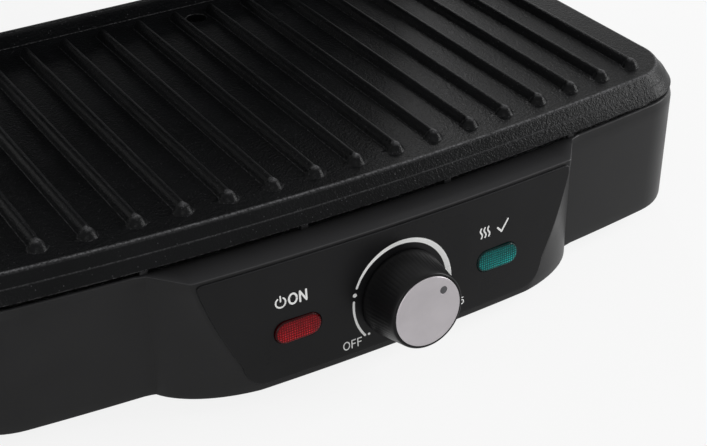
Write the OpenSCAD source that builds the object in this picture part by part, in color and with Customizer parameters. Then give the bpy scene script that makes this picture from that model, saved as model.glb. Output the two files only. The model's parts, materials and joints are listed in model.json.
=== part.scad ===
// Countertop contact grill: a heated ribbed plate in a low base, and a second one in a lid that hinges and floats.
// The origin is on the table, under the middle of the whole object with its lid open. The front faces -Y.
// The pieces are drawn about the middle of the base, and placed() then moves them to that origin.
// The lid is modelled open, against its stop.

/* [Body] */
// Width of the base and of the lid
body_w = 320; // [290:2:360]
// Depth of the base and of the lid
body_d = 185; // [175:1:205]
// Radius of the bow of the front edge
front_bow_r = 1120; // [900:20:2000]
// Radius of the body's corners, seen from above
corner_r = 28; // [22:1:34]
// Height of the base's side wall
base_h = 49.3; // [47:0.1:56]
// Wall of the plastic mouldings
wall = 2.6; // [2.2:0.1:3]
// Width of the bevel along the top of the side wall
bevel_w = 0.8; // [0.4:0.1:1.4]
// Height of that bevel
bevel_h = 3.1; // [2:0.1:4]
// Thickness of the bottom cover
cover_t = 2.4; // [2:0.1:3]

/* [Feet] */
// Height of the feet below the base
foot_h = 6.5; // [5:0.5:10]
// Radius of a foot
foot_r = 9; // [7:0.5:11]
// Distance of the feet from the middle, sideways
foot_x = 118; // [108:1:124]
// Distance of the feet from the middle, front to back
foot_y = 68; // [60:1:70]

/* [Grill plates] */
// Gap between a plate and the moulding around it
plate_gap = 2; // [1.4:0.1:3]
// Height of a plate's edge
plate_edge_h = 8.5; // [7.5:0.1:10]
// Width that the edge leans in from bottom to top
plate_edge_in = 7; // [6:0.2:8]
// Thickness of the plate's floor
plate_t = 4.3; // [3.6:0.1:5]
// Distance from rib to rib
rib_pitch = 17; // [15:0.5:18]
// Number of ribs
rib_count = 17; // [13:2:17]
// Height of a rib above the floor
rib_h = 3.2; // [2.6:0.1:3.6]
// Width of a rib
rib_w = 4.4; // [3.6:0.1:5]
// Width of the bulb at the end of a rib
rib_bulb_w = 5.6; // [5:0.1:6.4]
// Distance from the plate's front edge to the rib ends
rib_front_gap = 9.8; // [8:0.2:13]
// Distance from the splash wall to the rib ends
rib_back_gap = 9.5; // [8:0.5:13]
// Height of the splash wall at the back of the lower plate
splash_h = 6.5; // [4:0.1:7]
// Thickness of the splash wall
splash_t = 3.5; // [2.6:0.1:4]

/* [Heating] */
// Radius of the heating element's tube
element_r = 3.2; // [2.8:0.1:3.6]
// Distance between the element's two runs
element_span = 92; // [76:2:100]
// Length from the middle to the element's cold ends
element_left = 112; // [100:1:116]
// Length from the middle to the centre of the element's bend
element_right = 66; // [50:1:76]
// Thickness of the reflector's sheet
sheet_t = 0.8; // [0.6:0.1:1.2]
// Depth of the reflector's dish
dish_h = 5; // [3:0.5:6]

/* [Control box] */
// Half width of the front face at the top
face_top_x = 79.8; // [76:0.2:84]
// Half width of the front face at the bottom
face_bottom_x = 58; // [54:0.5:64]
// Half width of the box where it meets the side wall
box_root_x = 90; // [88:0.5:94]
// How far the box stands out from the front wall at the top
box_out = 11.7; // [10:0.1:15]
// Lean of the front face, outwards to the bottom, in degrees
face_lean = 4.6; // [2:0.1:6]
// Height of the strip below the panel
panel_strip = 3; // [2:0.1:5]
// Thickness of the panel on the face
panel_t = 0.8; // [0.6:0.1:1.2]

/* [Knob and lamps] */
// Height of the knob's centre above the table
knob_z = 27.8; // [25:0.2:30]
// Radius of the knob at the panel
knob_base_r = 17.2; // [15:0.1:18]
// Radius of the knob at its front
knob_front_r = 14.6; // [13:0.1:15]
// Height of the knob
knob_h = 16.4; // [15:0.2:20]
// Radius of the metal disc on the knob
disc_r = 13.5; // [11:0.1:13.6]
// Thickness of that disc
disc_t = 1; // [0.6:0.1:1.4]
// Radius of the thermostat's shaft
shaft_r = 3; // [2.5:0.1:3.2]
// Distance of each lamp from the knob's centre
lamp_x = 42.6; // [38:0.2:46]
// Length of a lamp lens
lens_w = 18.6; // [15:0.2:20]
// Height of a lamp lens
lens_h = 8.8; // [7:0.2:10]
// How far a lens stands out of the panel
lens_out = 1.8; // [1:0.1:2.4]

/* [Hinge] */
// Distance of the hinge axis behind the base
hinge_back = 26; // [25:0.5:32]
// Height of the hinge axis above the lower plate's floor
hinge_up = 11.7; // [10:0.1:14]
// Travel of the floating hinge
float_h = 14; // [8:1:15]
// Distance of each hinge from the middle
hinge_x = 105; // [98:1:110]
// Angle of the open lid, in degrees
open_angle = 105; // [95:1:108]
// Radius of a hinge pin
pin_r = 3; // [2.5:0.1:3.5]
// Thickness of a hinge post
post_t = 10; // [8:0.5:12]
// Thickness of a cheek of the hinge arm
cheek_t = 4; // [3:0.5:5]

/* [Lid] */
// Height of the lid's shell
lid_h = 46; // [44:1:54]
// Length of the handle's grip
grip_w = 150; // [120:2:170]
// Distance of the grip in front of the lid
grip_out = 34; // [30:1:42]
// Height of the grip's section
grip_h = 14; // [12:0.5:18]
// Depth of the grip's section
grip_d = 22; // [18:0.5:26]

/* [Drip tray] */
// Width of the tray
tray_w = 110; // [90:2:116]
// Depth of the tray, front to back
tray_d = 88; // [60:1:92]
// Height of the tray
tray_h = 16; // [12:0.5:17]
// Wall of the tray
tray_wall = 1.8; // [1.4:0.1:2.4]

/* [Fits] */
// Clearance of a pin or shaft that turns
running_gap = 0.05; // [0.02:0.01:0.1]
// Clearance around a piece that is set in another
seat_gap = 0.3; // [0.2:0.05:0.4]
// Clearance between the ribs of the closed plates
rib_gap = 0.8; // [0.6:0.1:2]

/* [Hidden] */

// Steps of the curves that the shells are lofted along
bow_steps = 18;
corner_steps = 6;
facet_steps = 6;
beside_steps = 3;
base_middle = beside_steps + facet_steps + bow_steps / 2;
$fn = 48;

// How far the middle of the whole object lies behind the middle of the base
whole_middle_y = 45.5;

// Heights above the table
base_bottom = foot_h;
base_top = base_bottom + base_h;
plate_bottom = base_top + plate_gap;
floor_z = plate_bottom + plate_edge_h;
floor_to_floor = 2 * rib_h + rib_gap;
upper_floor_z = floor_z + max(floor_to_floor, splash_h + rib_gap);
lid_bottom = upper_floor_z + plate_edge_h + plate_gap;
hinge_z = floor_z + hinge_up;
hinge_y = body_d / 2 + hinge_back;

// The stack under a plate, measured down from its floor
flange_top = -(plate_edge_h + 10.7);
flange_bottom = flange_top - sheet_t;
shelf_top = flange_bottom - seat_gap;
shelf_t = 2.4;
boss_bottom = flange_top + seat_gap;
element_z = -plate_t - 0.5 - element_r;
base_shelf_z = floor_z + shelf_top;
base_shelf_bottom = base_shelf_z - shelf_t;
frame_z = upper_floor_z - shelf_top;
shelf_share = (base_top - base_shelf_bottom) / base_h;

// Screws: radius and head radius, head height
screw_r = 1.5;
screw_head_r = 3;
screw_head_h = 2;
pilot_gap = 0.05;
plate_boss_r = 5;
plate_bosses = [for (x = [-1, 1], y = [-1, 1]) [x * (body_w / 2 - 19), y * (body_d / 2 - 30.5)]];
cover_boss_r = 4.5;
front_boss_y = -(body_d / 2 - 15.5);
cover_bosses = concat(
    [for (x = [-1, 1], y = [-1, 1]) [x * (body_w / 2 - 12), y * 25]],
    [for (x = [-1, 1]) [x * 66, front_boss_y]]
);
feet = [for (x = [-1, 1], y = [-1, 1]) [x * foot_x, y * foot_y]];
shelf_window_in = 26;
shelf_window_x = body_w / 2 - shelf_window_in;
shelf_window_front = -(body_d / 2 - shelf_window_in + 5.5);
dish_inset = shelf_window_in + 1;
dish_bottom = flange_bottom - dish_h;

// Drain in the lower plate, between two ribs
drain_x = rib_pitch / 2;
drain_y = body_d / 2 - 24;
drain_r = 4.5;
spout_r = 6.5;
shelf_window_back = drain_y + spout_r + 1;

// Tray bay
tray_floor_z = base_bottom + cover_t + 2;
tray_front_y = body_d / 2 - tray_d;
tray_face_t = 2.4;
bay_gap = 0.6;

// Cord gland beside the tray
gland_x = (tray_w / 2 + hinge_x) / 2 - 4;
gland_z = base_bottom + 24;
gland_r = 7;
cord_bore_r = 3.7;

// Control box
panel_gap = 0.1;
panel_h = base_h / cos(face_lean) - panel_strip;
face_curve = 0.44;
root_bulge = 0.6;

function bow(x) = x * x / (2 * front_bow_r);
function front_y(x, inset = 0) = -body_d / 2 + inset + bow(x);
// Y of the control box's front face, at height z on the middle plane
function face_y(z) = -body_d / 2 - box_out - (base_top - z) * tan(face_lean);
// Half width of the box's front face, t down from the top as a share of its height
function face_x(t) = face_top_x - (face_top_x - face_bottom_x) * ((1 - face_curve) * t + face_curve * t * t);

// Outline of the body seen from above, drawn in by inset
function outline(inset) =
    let (
        hw = body_w / 2 - inset,
        by = body_d / 2 - inset,
        r = max(corner_r - inset, 3),
        cx = hw - r,
        phi = atan(cx / front_bow_r),
        xt = cx + r * sin(phi),
        cy = front_y(xt, inset) + r * cos(phi),
        front = [for (i = [0:bow_steps]) let (x = xt * (2 * i / bow_steps - 1)) [x, front_y(x, inset)]],
        near = [for (i = [1:corner_steps]) let (a = (90 - phi) * (i / corner_steps - 1)) [cx + r * cos(a), cy + r * sin(a)]],
        far = [for (i = [0:corner_steps]) let (a = 90 * i / corner_steps) [cx + r * cos(a), by - r + r * sin(a)]],
        right = concat(near, far),
        n = len(right)
    )
    concat(front, right, [for (i = [n - 1:-1:0]) [-right[i].x, right[i].y]]);

// Front of the control box from its left root to its right one, t down from the top, drawn in by inset.
// The roots lie root_in nearer to the middle and root_back behind the front wall.
function box_front(t, inset, root_in, root_back) =
    let (
        xc = face_x(t) - 0.8 * inset,
        fy = face_y(base_top - t * base_h) + inset,
        root = [box_root_x - root_in, front_y(box_root_x) + root_back],
        corner = [xc, fy + bow(xc)],
        b = root_bulge * min(t, 1),
        front = [for (i = [0:bow_steps]) let (x = xc * (2 * i / bow_steps - 1)) [x, fy + bow(x)]],
        side = [for (i = [1:facet_steps])
            let (
                s = i / facet_steps,
                flat = corner + s * (root - corner),
                round = [
                    corner.x + (root.x - corner.x) * sin(90 * s),
                    root.y + (corner.y - root.y) * cos(90 * s)
                ]
            ) flat * (1 - b) + round * b],
        n = len(side)
    )
    concat([for (i = [n - 1:-1:0]) [-side[i].x, side[i].y]], front, side);

// Outline of the base with its control box, t down from the top, drawn in by inset.
// root_in and root_back say where the box's front ends beside the wall.
function base_outline(t, inset, root_in, root_back) =
    let (
        body = outline(inset),
        n = len(body),
        right_end = body[bow_steps].x,
        beside = [for (i = [1:beside_steps])
            let (x = box_root_x + (right_end - box_root_x) * i / (beside_steps + 1)) [x, front_y(x, inset)]]
    )
    concat(
        [for (i = [beside_steps - 1:-1:0]) [-beside[i].x, beside[i].y]],
        box_front(t, inset < wall ? 0.25 * inset : inset, root_in, root_back),
        beside,
        [for (i = [bow_steps:n - 1]) body[i]],
        [body[0]]
    );

// Triangles that close a ring of n points, in strips between each point and its mirror image.
// middle is the index of the ring's foremost point.
function cap(n, middle) = [for (k = [0:(n - 1) / 2 - 1])
    let (
        right = (middle + k) % n,
        next_right = (middle + k + 1) % n,
        left = (middle - k + n) % n,
        next_left = (middle - k - 1 + n) % n
    )
    each k == 0
        ? [[right, next_left, next_right]]
        : [[right, left, next_left], [right, next_left, next_right]]];

// Solid through a list of symmetric rings, each a list of [x, y, z] points, lowest ring first
module loft(rings, middle) {
    n = len(rings[0]);
    last = (len(rings) - 1) * n;
    polyhedron(
        points = [for (ring = rings) each ring],
        faces = concat(
            [for (t = cap(n, middle)) [t[2], t[1], t[0]]],
            [for (t = cap(n, middle)) [last + t[0], last + t[1], last + t[2]]],
            [for (k = [0:len(rings) - 2], i = [0:n - 1])
                let (a = k * n + i, b = k * n + (i + 1) % n) each [[a, a + n, b + n], [a, b + n, b]]]
        )
    );
}

// Body shape through [height, inset] levels
module body_loft(levels) {
    loft([for (level = levels) [for (p = outline(level[1])) [p.x, p.y, level[0]]]], bow_steps / 2);
}

module body_slab(z, h, inset) {
    translate([0, 0, z]) linear_extrude(h) polygon(outline(inset));
}

// Base with its control box, through [share of the height from the top, inset] levels
module base_loft(levels) {
    loft([for (level = levels) [for (p = base_outline(level[0], level[1], 0.6 * level[1], level[1]))
        [p.x, p.y, base_top - level[0] * base_h]]], base_middle);
}

// Frame of the front panel: origin at the knob's centre on the face, +Z straight out, +Y up the face
module on_panel(x = 0, out = 0) {
    translate([0, face_y(knob_z), knob_z])
        rotate([90 - face_lean, 0, 0])
        translate([x, 0, out - bow(x)])
        children();
}

// Moves a piece from the middle of the base to the origin
module placed() {
    translate([0, -whole_middle_y, 0]) children();
}

module capsule(w, h) {
    square([w - h, h], center = true);
    for (side = [-1, 1]) translate([side * (w - h) / 2, 0]) circle(h / 2);
}

// Straight rods through a list of points, with a slightly fuller ball at each bend
module wire(points, r) {
    for (i = [0:len(points) - 2]) {
        run = points[i + 1] - points[i];
        translate(points[i])
            rotate([0, acos(run.z / norm(run)), atan2(run.y, run.x)])
            cylinder(r = r, h = norm(run), $fn = 16);
    }
    for (i = [1:len(points) - 2]) translate(points[i]) sphere(1.06 * r, $fn = 16);
}

// Pan head screw, with its head's seat at z = 0 and its shank up
module screw(length) {
    cylinder(r = screw_r, h = length, $fn = 24);
    difference() {
        translate([0, 0, -screw_head_h]) cylinder(r = screw_head_r, h = screw_head_h, $fn = 24);
        for (turn = [0, 90])
            rotate(turn) translate([-1.6, -0.4, -screw_head_h - 1]) cube([3.2, 0.8, 1.9]);
    }
}

module in_upper() {
    translate([0, 0, upper_floor_z]) mirror([0, 0, 1]) children();
}

// Turns a piece that is drawn on the closed lid to where the open lid holds it
module on_lid() {
    translate([0, hinge_y, hinge_z])
        rotate([-open_angle, 0, 0])
        translate([0, -hinge_y, -hinge_z])
        children();
}

// Heating: the element, its seat in the plate, and the sheet behind it

element_bend_r = element_span / 2;
cold_bend_r = 7;
cold_end_z = dish_bottom - 7.2;
cold_x = -element_left - cold_bend_r;

module element_path(r) {
    for (side = [-1, 1]) {
        translate([-element_left, side * element_bend_r, element_z])
            rotate([0, 90, 0])
            cylinder(r = r, h = element_left + element_right);
    }
    translate([element_right, 0, element_z])
        rotate([0, 0, -90])
        rotate_extrude(angle = 180, $fn = 96)
        translate([element_bend_r, 0]) circle(r);
}

module element_ends(r) {
    for (side = [-1, 1]) translate([-element_left, side * element_bend_r, 0]) {
        translate([0, 0, element_z - cold_bend_r])
            rotate([90, 0, 0])
            rotate_extrude(angle = 90, start = 90)
            translate([cold_bend_r, 0]) circle(r);
        translate([-cold_bend_r, 0, cold_end_z])
            cylinder(r = r, h = element_z - cold_bend_r - cold_end_z);
    }
}

module heating_element() {
    element_path(element_r);
    element_ends(element_r);
    for (side = [-1, 1])
        translate([cold_x, side * element_bend_r, cold_end_z - 5]) cylinder(r = 1.5, h = 6);
}

module element_plan(w) {
    for (side = [-1, 1])
        translate([-element_left, side * element_bend_r - w / 2]) square([element_left + element_right, w]);
    translate([element_right, 0]) difference() {
        circle(element_bend_r + w / 2, $fn = 96);
        circle(element_bend_r - w / 2, $fn = 96);
        translate([-2 * element_span, -element_span]) square([2 * element_span, 2 * element_span]);
    }
}

// Groove that the element lies in, under the plate's floor
module element_seat() {
    groove_w = 2 * (element_r + seat_gap);
    groove_wall = 2;
    groove_h = element_r + 1;
    translate([0, 0, -plate_t - groove_h]) linear_extrude(groove_h + 1) difference() {
        element_plan(groove_w + 2 * groove_wall);
        element_plan(groove_w);
    }
}

// Dished sheet that turns the heat back to the plate, with holes for what passes it
module reflector(holes) {
    difference() {
        union() {
            body_slab(flange_bottom, sheet_t, wall + 1);
            body_slab(dish_bottom, dish_h, dish_inset);
        }
        body_slab(dish_bottom + sheet_t, dish_h + 1, dish_inset + sheet_t);
        for (p = plate_bosses)
            translate([p.x, p.y, flange_bottom - 1]) cylinder(r = screw_r + seat_gap, h = 4);
        for (side = [-1, 1])
            translate([cold_x, side * element_bend_r, dish_bottom - 1])
                cylinder(r = element_r + 2, h = 4);
        for (hole = holes)
            translate([hole.x, hole.y, dish_bottom - 1]) cylinder(r = hole.z, h = dish_h + 4);
    }
}

module plate_screw_set() {
    for (p = plate_bosses)
        translate([p.x, p.y, shelf_top - shelf_t]) screw(shelf_t + 8);
}

// Cast plate with its floor at z = 0, facing up
module grill_plate(splash, drained) {
    edge_crease = 4.3;
    pocket_inset = plate_edge_in + 4.5;
    difference() {
        union() {
            difference() {
                body_loft([
                    [-plate_edge_h, 0.6],
                    [-edge_crease, 3.5],
                    [-0.9, plate_edge_in - 0.7],
                    [0, plate_edge_in + 0.3]
                ]);
                translate([0, 0, -plate_edge_h - 1])
                    linear_extrude(plate_edge_h + 1 - plate_t) polygon(outline(pocket_inset));
            }
            plate_ribs(rib_front_y, rib_end_y);
            if (splash) splash_wall();
            element_seat();
            for (p = plate_bosses)
                translate([p.x, p.y, boss_bottom]) cylinder(r = plate_boss_r, h = -boss_bottom - 1);
            if (drained)
                translate([drain_x, drain_y, -floor_z + tray_floor_z + tray_h + 2])
                    cylinder(r = spout_r, h = floor_z - tray_floor_z - tray_h - 3);
        }
        for (p = plate_bosses)
            translate([p.x, p.y, boss_bottom - 1]) cylinder(r = screw_r + pilot_gap, h = 11, $fn = 24);
        if (drained)
            translate([drain_x, drain_y, -floor_z]) cylinder(r = drain_r, h = floor_z + 1);
    }
}

rib_front_y = -body_d / 2 + plate_edge_in + rib_front_gap;
splash_y = body_d / 2 - plate_edge_in - 1 - splash_t;
rib_end_y = splash_y - rib_back_gap;

// Radius of a round bar that stands h over the floor and is w wide there
function bar_r(w, h) = (w * w / 4 + h * h) / (2 * h);

module plate_ribs(y0, y1) {
    bulb_h = rib_h + 0.15;
    rib_r = bar_r(rib_w, rib_h);
    bulb_r = bar_r(rib_bulb_w, bulb_h);
    for (i = [0:rib_count - 1]) {
        x = (i - (rib_count - 1) / 2) * rib_pitch;
        start = y0 + bow(x);
        translate([x, start, rib_h - rib_r])
            rotate([-90, 0, 0]) cylinder(r = rib_r, h = y1 - start, $fn = 24);
        translate([x, start, bulb_h - bulb_r]) sphere(bulb_r, $fn = 24);
    }
}

module splash_wall() {
    wall_x = body_w / 2 - corner_r;
    translate([0, splash_y + splash_t / 2, -1])
        linear_extrude(splash_h + 1) capsule(2 * wall_x + splash_t, splash_t);
}

// Base

module base_housing() {
    color([0.09, 0.09, 0.095]) placed() {
        difference() {
            base_loft([[1, 0], [0.7, 0], [0.4, 0], [bevel_h / base_h, 0], [0, bevel_w]]);
            body_slab(base_bottom - 1, base_shelf_bottom - base_bottom + 1, wall);
            body_slab(base_shelf_z, base_top - base_shelf_z + 1, wall);
            translate([-shelf_window_x, shelf_window_front, base_shelf_bottom - 1])
                cube([2 * shelf_window_x, shelf_window_back - shelf_window_front, shelf_t + 2]);
            box_cavity();
            panel_openings(seat_gap);
            rear_openings();
            for (p = plate_bosses)
                translate([p.x, p.y, base_shelf_bottom - 1]) cylinder(r = screw_r + seat_gap, h = shelf_t + 2);
        }
        for (p = cover_bosses) cover_boss(p);
        plate_nubs();
    }
}

// Where the inside of the control box ends beside the wall
cavity_root_in = 3.2;
cavity_root_back = 5.2;

// Inside of the control box: open to the body up to the shelf, closed behind above it
module box_cavity() {
    lip = 0.8 / base_h;
    inner_y = -body_d / 2 + 14;
    back_y = -body_d / 2 - 0.2;
    middle = facet_steps + bow_steps / 2;
    loft([for (t = [1 + 1 / base_h, 0.7, 0.45, shelf_share + lip])
        let (
            z = base_top - t * base_h,
            front = box_front(t, wall, cavity_root_in, cavity_root_back),
            end = front[len(front) - 1].x
        )
        concat([for (p = front) [p.x, p.y, z]], [[end, inner_y, z], [-end, inner_y, z]])], middle);
    loft([for (t = [shelf_share + 1.6 * lip, (shelf_share + wall / base_h) / 2, wall / base_h])
        let (z = base_top - t * base_h)
        [for (p = box_front(t, wall + 0.4, 3.5 * wall, back_y - front_y(box_root_x))) [p.x, p.y, z]]], middle);
}

// Small rests in the gap under the lower plate, at the front and the back edge
module plate_nubs() {
    nub_w = 3;
    nub_inset = wall / 2 + 0.4;
    for (side = [-1, 1], x = [rib_pitch * 1.78, rib_pitch * 5.3]) {
        translate([side * x - nub_w / 2, front_y(x, nub_inset) - wall / 4, base_top - 0.5])
            cube([nub_w, wall / 2, plate_gap - seat_gap + 0.5]);
        translate([side * x - nub_w / 2, body_d / 2 - nub_inset - wall / 4, base_top - 0.5])
            cube([nub_w, wall / 2, plate_gap - seat_gap + 0.5]);
    }
}

module cover_boss(p) {
    bottom = base_bottom + cover_t + seat_gap;
    translate([p.x, p.y, bottom]) difference() {
        cylinder(r = cover_boss_r, h = base_shelf_z - shelf_t / 2 - bottom);
        translate([0, 0, -1]) cylinder(r = screw_r + pilot_gap, h = 13, $fn = 24);
    }
}

module panel_shape() {
    low = -(knob_z - base_bottom) / cos(face_lean) + panel_strip;
    rim = 1;
    corner = 9;
    steps = 10;
    straight = panel_h - rim - corner;
    side = [for (i = [0:steps])
        let (v = low + corner + straight * i / steps)
        [face_x((low + panel_h - v) / (panel_h + panel_strip)) - rim, v]];
    bend = [for (i = [0:5]) let (a = 90 * i / 6)
        [side[0].x - corner * (1 - sin(a)), low + corner * (1 - cos(a))]];
    right = concat(bend, side);
    n = len(right);
    polygon(concat(right, [for (i = [n - 1:-1:0]) [-right[i].x, right[i].y]]));
}

// Layer over the bowed face, between two heights
module panel_slab(low, high) {
    on_panel() intersection() {
        translate([0, 0, -8]) linear_extrude(16) panel_shape();
        translate([0, -60, -front_bow_r]) rotate([-90, 0, 0]) difference() {
            cylinder(r = front_bow_r + high, h = 120, $fn = 720);
            translate([0, 0, -1]) cylinder(r = front_bow_r + low, h = 122, $fn = 720);
        }
    }
}

module panel_openings(gap) {
    for (side = [-1, 1])
        on_panel(side * lamp_x, -10) linear_extrude(20) capsule(lens_w + 2 * gap, lens_h + 2 * gap);
    on_panel(0, -10) cylinder(r = bush_r + gap, h = 20);
}

module control_panel() {
    color([0.05, 0.05, 0.055]) placed()
        difference() {
            panel_slab(panel_gap, panel_gap + panel_t);
            panel_openings(seat_gap / 2);
        }
}

// Holes in the back wall: tray bay, cord gland and the posts' screws
module rear_openings() {
    translate([-tray_w / 2 - bay_gap, body_d / 2 - 5, tray_floor_z - bay_gap])
        cube([tray_w + 2 * bay_gap, 10, tray_h + 2 * bay_gap]);
    translate([gland_x, body_d / 2 - 5, gland_z])
        rotate([-90, 0, 0]) cylinder(r = gland_r + seat_gap, h = 10);
    for (p = post_screws)
        translate([p.x, body_d / 2 - 5, p.y])
            rotate([-90, 0, 0]) cylinder(r = screw_r + seat_gap, h = 10);
}

// Outline of the bottom cover, clear of the housing's inside
function cover_outline(t) =
    base_outline(t, wall + seat_gap, cavity_root_in + 3 * seat_gap, cavity_root_back + seat_gap);

module bottom_cover() {
    color([0.13, 0.13, 0.135]) placed() {
        difference() {
            loft([for (t = [1, 1 - cover_t / base_h]) [for (p = cover_outline(t)) [p.x, p.y, base_top - t * base_h]]],
                base_middle);
            for (p = cover_bosses) {
                translate([p.x, p.y, base_bottom - 1]) cylinder(r = screw_r + seat_gap, h = cover_t + 2);
                translate([p.x, p.y, base_bottom - 1]) cylinder(r = screw_head_r + seat_gap, h = 2);
            }
            for (p = feet)
                translate([p.x, p.y, base_bottom - 1]) cylinder(r = foot_stem_r + seat_gap, h = cover_t + 2);
            cover_vents();
        }
        for (side = [-1, 1])
            translate([side * (tray_w / 2 + bay_gap + 1) - 1, tray_front_y, base_bottom + cover_t - 0.5])
                cube([2, tray_d - 8, 8]);
        for (side = [-1, 1])
            translate([side * (tray_w / 2 - 8) - 1.5, tray_front_y, base_bottom + cover_t - 0.5])
                cube([3, tray_d - 8, tray_floor_z - base_bottom - cover_t + 0.5 - bay_gap / 2]);
    }
}

module cover_vents() {
    for (side = [-1, 1], i = [0:6])
        translate([side * 88 - 12, -46 + 10 * i, base_bottom - 1]) cube([24, 3.4, cover_t + 2]);
}

foot_stem_r = 3.5;

// Foot with its top at z = 0 and a stem that runs up through a hole
module foot(r, stem) {
    translate([0, 0, -base_bottom]) cylinder(r1 = r - 1, r2 = r, h = base_bottom);
    translate([0, 0, -1]) cylinder(r = foot_stem_r, h = stem + 1);
}

module rubber_feet() {
    barb_h = 1.2;
    color([0.06, 0.06, 0.06]) placed() {
        for (p = feet) translate([p.x, p.y, base_bottom]) {
            foot(foot_r, cover_t + barb_h);
            translate([0, 0, cover_t + 0.2]) cylinder(r = foot_stem_r + 1, h = barb_h);
        }
        for (side = [-1, 1]) translate([side * hinge_x, hinge_y, base_bottom]) foot(foot_r - 1, post_foot_h + 2);
    }
}

module bottom_screws() {
    color("silver") placed()
        for (p = cover_bosses) translate([p.x, p.y, base_bottom + 1]) screw(cover_t + 8);
}

// Lower plate and its heating

module lower_plate() {
    color([0.12, 0.12, 0.13]) placed()
        translate([0, 0, floor_z]) grill_plate(splash = true, drained = true);
}

module lower_element() {
    color([0.45, 0.45, 0.44]) placed() translate([0, 0, floor_z]) heating_element();
}

module lower_reflector() {
    color("silver") placed() translate([0, 0, floor_z]) reflector([[drain_x, drain_y, spout_r + 1.5], [0, sensor_y, 5]]);
}

module lower_plate_screws() {
    color("silver") placed() translate([0, 0, floor_z]) plate_screw_set();
}

// Lamps

lamp_depth = 13;
lens_flange = 1.2;
lens_lip = 1.5;
lamp_wall = 1.4;
// The lens is flat and the wall is bowed, so its flange sits a little deeper
lens_seat = -wall - seat_gap - bow(lamp_x + lens_w / 2 + lens_lip) + bow(lamp_x);
lamp_seat = lens_seat - lens_flange - seat_gap;

module lens(side) {
    on_panel(side * lamp_x) {
        translate([0, 0, lens_seat - lens_flange]) linear_extrude(lens_out - lens_seat + lens_flange - 0.8)
            capsule(lens_w, lens_h);
        translate([0, 0, lens_out - 0.8]) linear_extrude(0.8) capsule(lens_w - 1, lens_h - 1);
        translate([0, 0, lens_seat - lens_flange]) linear_extrude(lens_flange)
            capsule(lens_w + 2 * lens_lip, lens_h + 2 * lens_lip);
    }
}

module power_lens() {
    color([0.75, 0.05, 0.08]) placed() lens(-1);
}

module ready_lens() {
    color([0.02, 0.42, 0.38]) placed() lens(1);
}

module lamp_housings() {
    color([0.8, 0.8, 0.78]) placed()
        for (side = [-1, 1]) on_panel(side * lamp_x) difference() {
            translate([0, 0, lamp_seat - lamp_depth]) linear_extrude(lamp_depth)
                capsule(lens_w + 2 * lens_lip, lens_h + 2 * lens_lip);
            translate([0, 0, lamp_seat - lamp_depth + lamp_wall]) linear_extrude(lamp_depth) capsule(lens_w, lens_h);
        }
}

module neon_lamps() {
    color([0.95, 0.85, 0.75]) placed()
        for (side = [-1, 1]) on_panel(side * lamp_x) {
            translate([-6, 0, lamp_seat - 7]) rotate([0, 90, 0]) cylinder(r = 2.4, h = 12);
            for (end = [-1, 1])
                translate([end * 3, 0, lamp_seat - lamp_depth + lamp_wall + seat_gap])
                    cylinder(r = 0.8, h = lamp_depth - 9, $fn = 16);
        }
}

// Thermostat and knob

bush_r = 5;
bush_top = 5;
body_front = -wall - seat_gap;
thermostat_w = 30;
thermostat_h = 24;
thermostat_t = 14;
shaft_tail = 8;
nut_h = 2.4;

module thermostat_body() {
    color([0.85, 0.82, 0.72]) placed()
        difference() {
            union() {
                on_panel() {
                    translate([-thermostat_w / 2, -thermostat_h / 2, body_front - thermostat_t])
                        cube([thermostat_w, thermostat_h, thermostat_t]);
                    translate([0, 0, body_front - 1]) cylinder(r = bush_r, h = bush_top - body_front + 1);
                    for (side = [-1, 1])
                        translate([side * 9 - 3, -0.4, body_front - thermostat_t - 8]) cube([6, 0.8, 9]);
                }
            }
            on_panel(0, body_front - shaft_tail - seat_gap)
                cylinder(r = shaft_r + running_gap, h = shaft_tail + 20);
        }
}

module thermostat_nut() {
    color("silver") placed()
        on_panel(0, panel_gap + panel_t + seat_gap) difference() {
            cylinder(r = 8, h = nut_h, $fn = 6);
            translate([0, 0, -1]) cylinder(r = bush_r + pilot_gap, h = nut_h + 2);
        }
}

module thermostat_shaft() {
    color("silver") placed()
        on_panel(0, body_front - shaft_tail) difference() {
            cylinder(r = shaft_r, h = shaft_tail - body_front + knob_h - 5);
            translate([-shaft_r, shaft_r - 0.9, shaft_tail - body_front + bush_top + 1]) cube([2 * shaft_r, 2, 20]);
        }
}

knob_gap = 0.6;

module knob_skirt() {
    shell = 2;
    hub_r = shaft_r + 2.5;
    top = knob_h - disc_t / 2;
    color([0.05, 0.05, 0.05]) placed()
        on_panel(0, panel_gap + panel_t + knob_gap) difference() {
            union() {
                difference() {
                    cylinder(r1 = knob_base_r, r2 = knob_front_r, h = top);
                    translate([0, 0, -1])
                        cylinder(r1 = knob_base_r - shell, r2 = knob_front_r - shell + 0.4, h = top - 2.6);
                }
                translate([0, 0, bush_top]) cylinder(r = hub_r, h = top - bush_top - 1);
            }
            translate([0, 0, top - disc_t + 0.2]) cylinder(r = disc_r + 0.1, h = disc_t + 1);
            difference() {
                translate([0, 0, 1]) cylinder(r = shaft_r + running_gap, h = knob_h - 5 - 1 - knob_gap);
                translate([-shaft_r, shaft_r - 0.9 + running_gap, bush_top + 1]) cube([2 * shaft_r, 2, 20]);
            }
        }
}

// Marker on the disc: where the setting points at rest, anticlockwise from the right
marker_angle = 45;
marker_r = 1.5;

module knob_disc() {
    top = knob_h - disc_t / 2;
    color([0.75, 0.74, 0.75]) placed()
        on_panel(0, panel_gap + panel_t + knob_gap) difference() {
            translate([0, 0, top - disc_t + 0.25]) cylinder(r = disc_r, h = disc_t);
            rotate(marker_angle) translate([disc_r - 4.2, 0, top - 0.2]) cylinder(r = marker_r, h = 2, $fn = 24);
        }
}

// Sensor of the thermostat, clamped under the plate, and its thin tube
sensor_y = -22;

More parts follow.
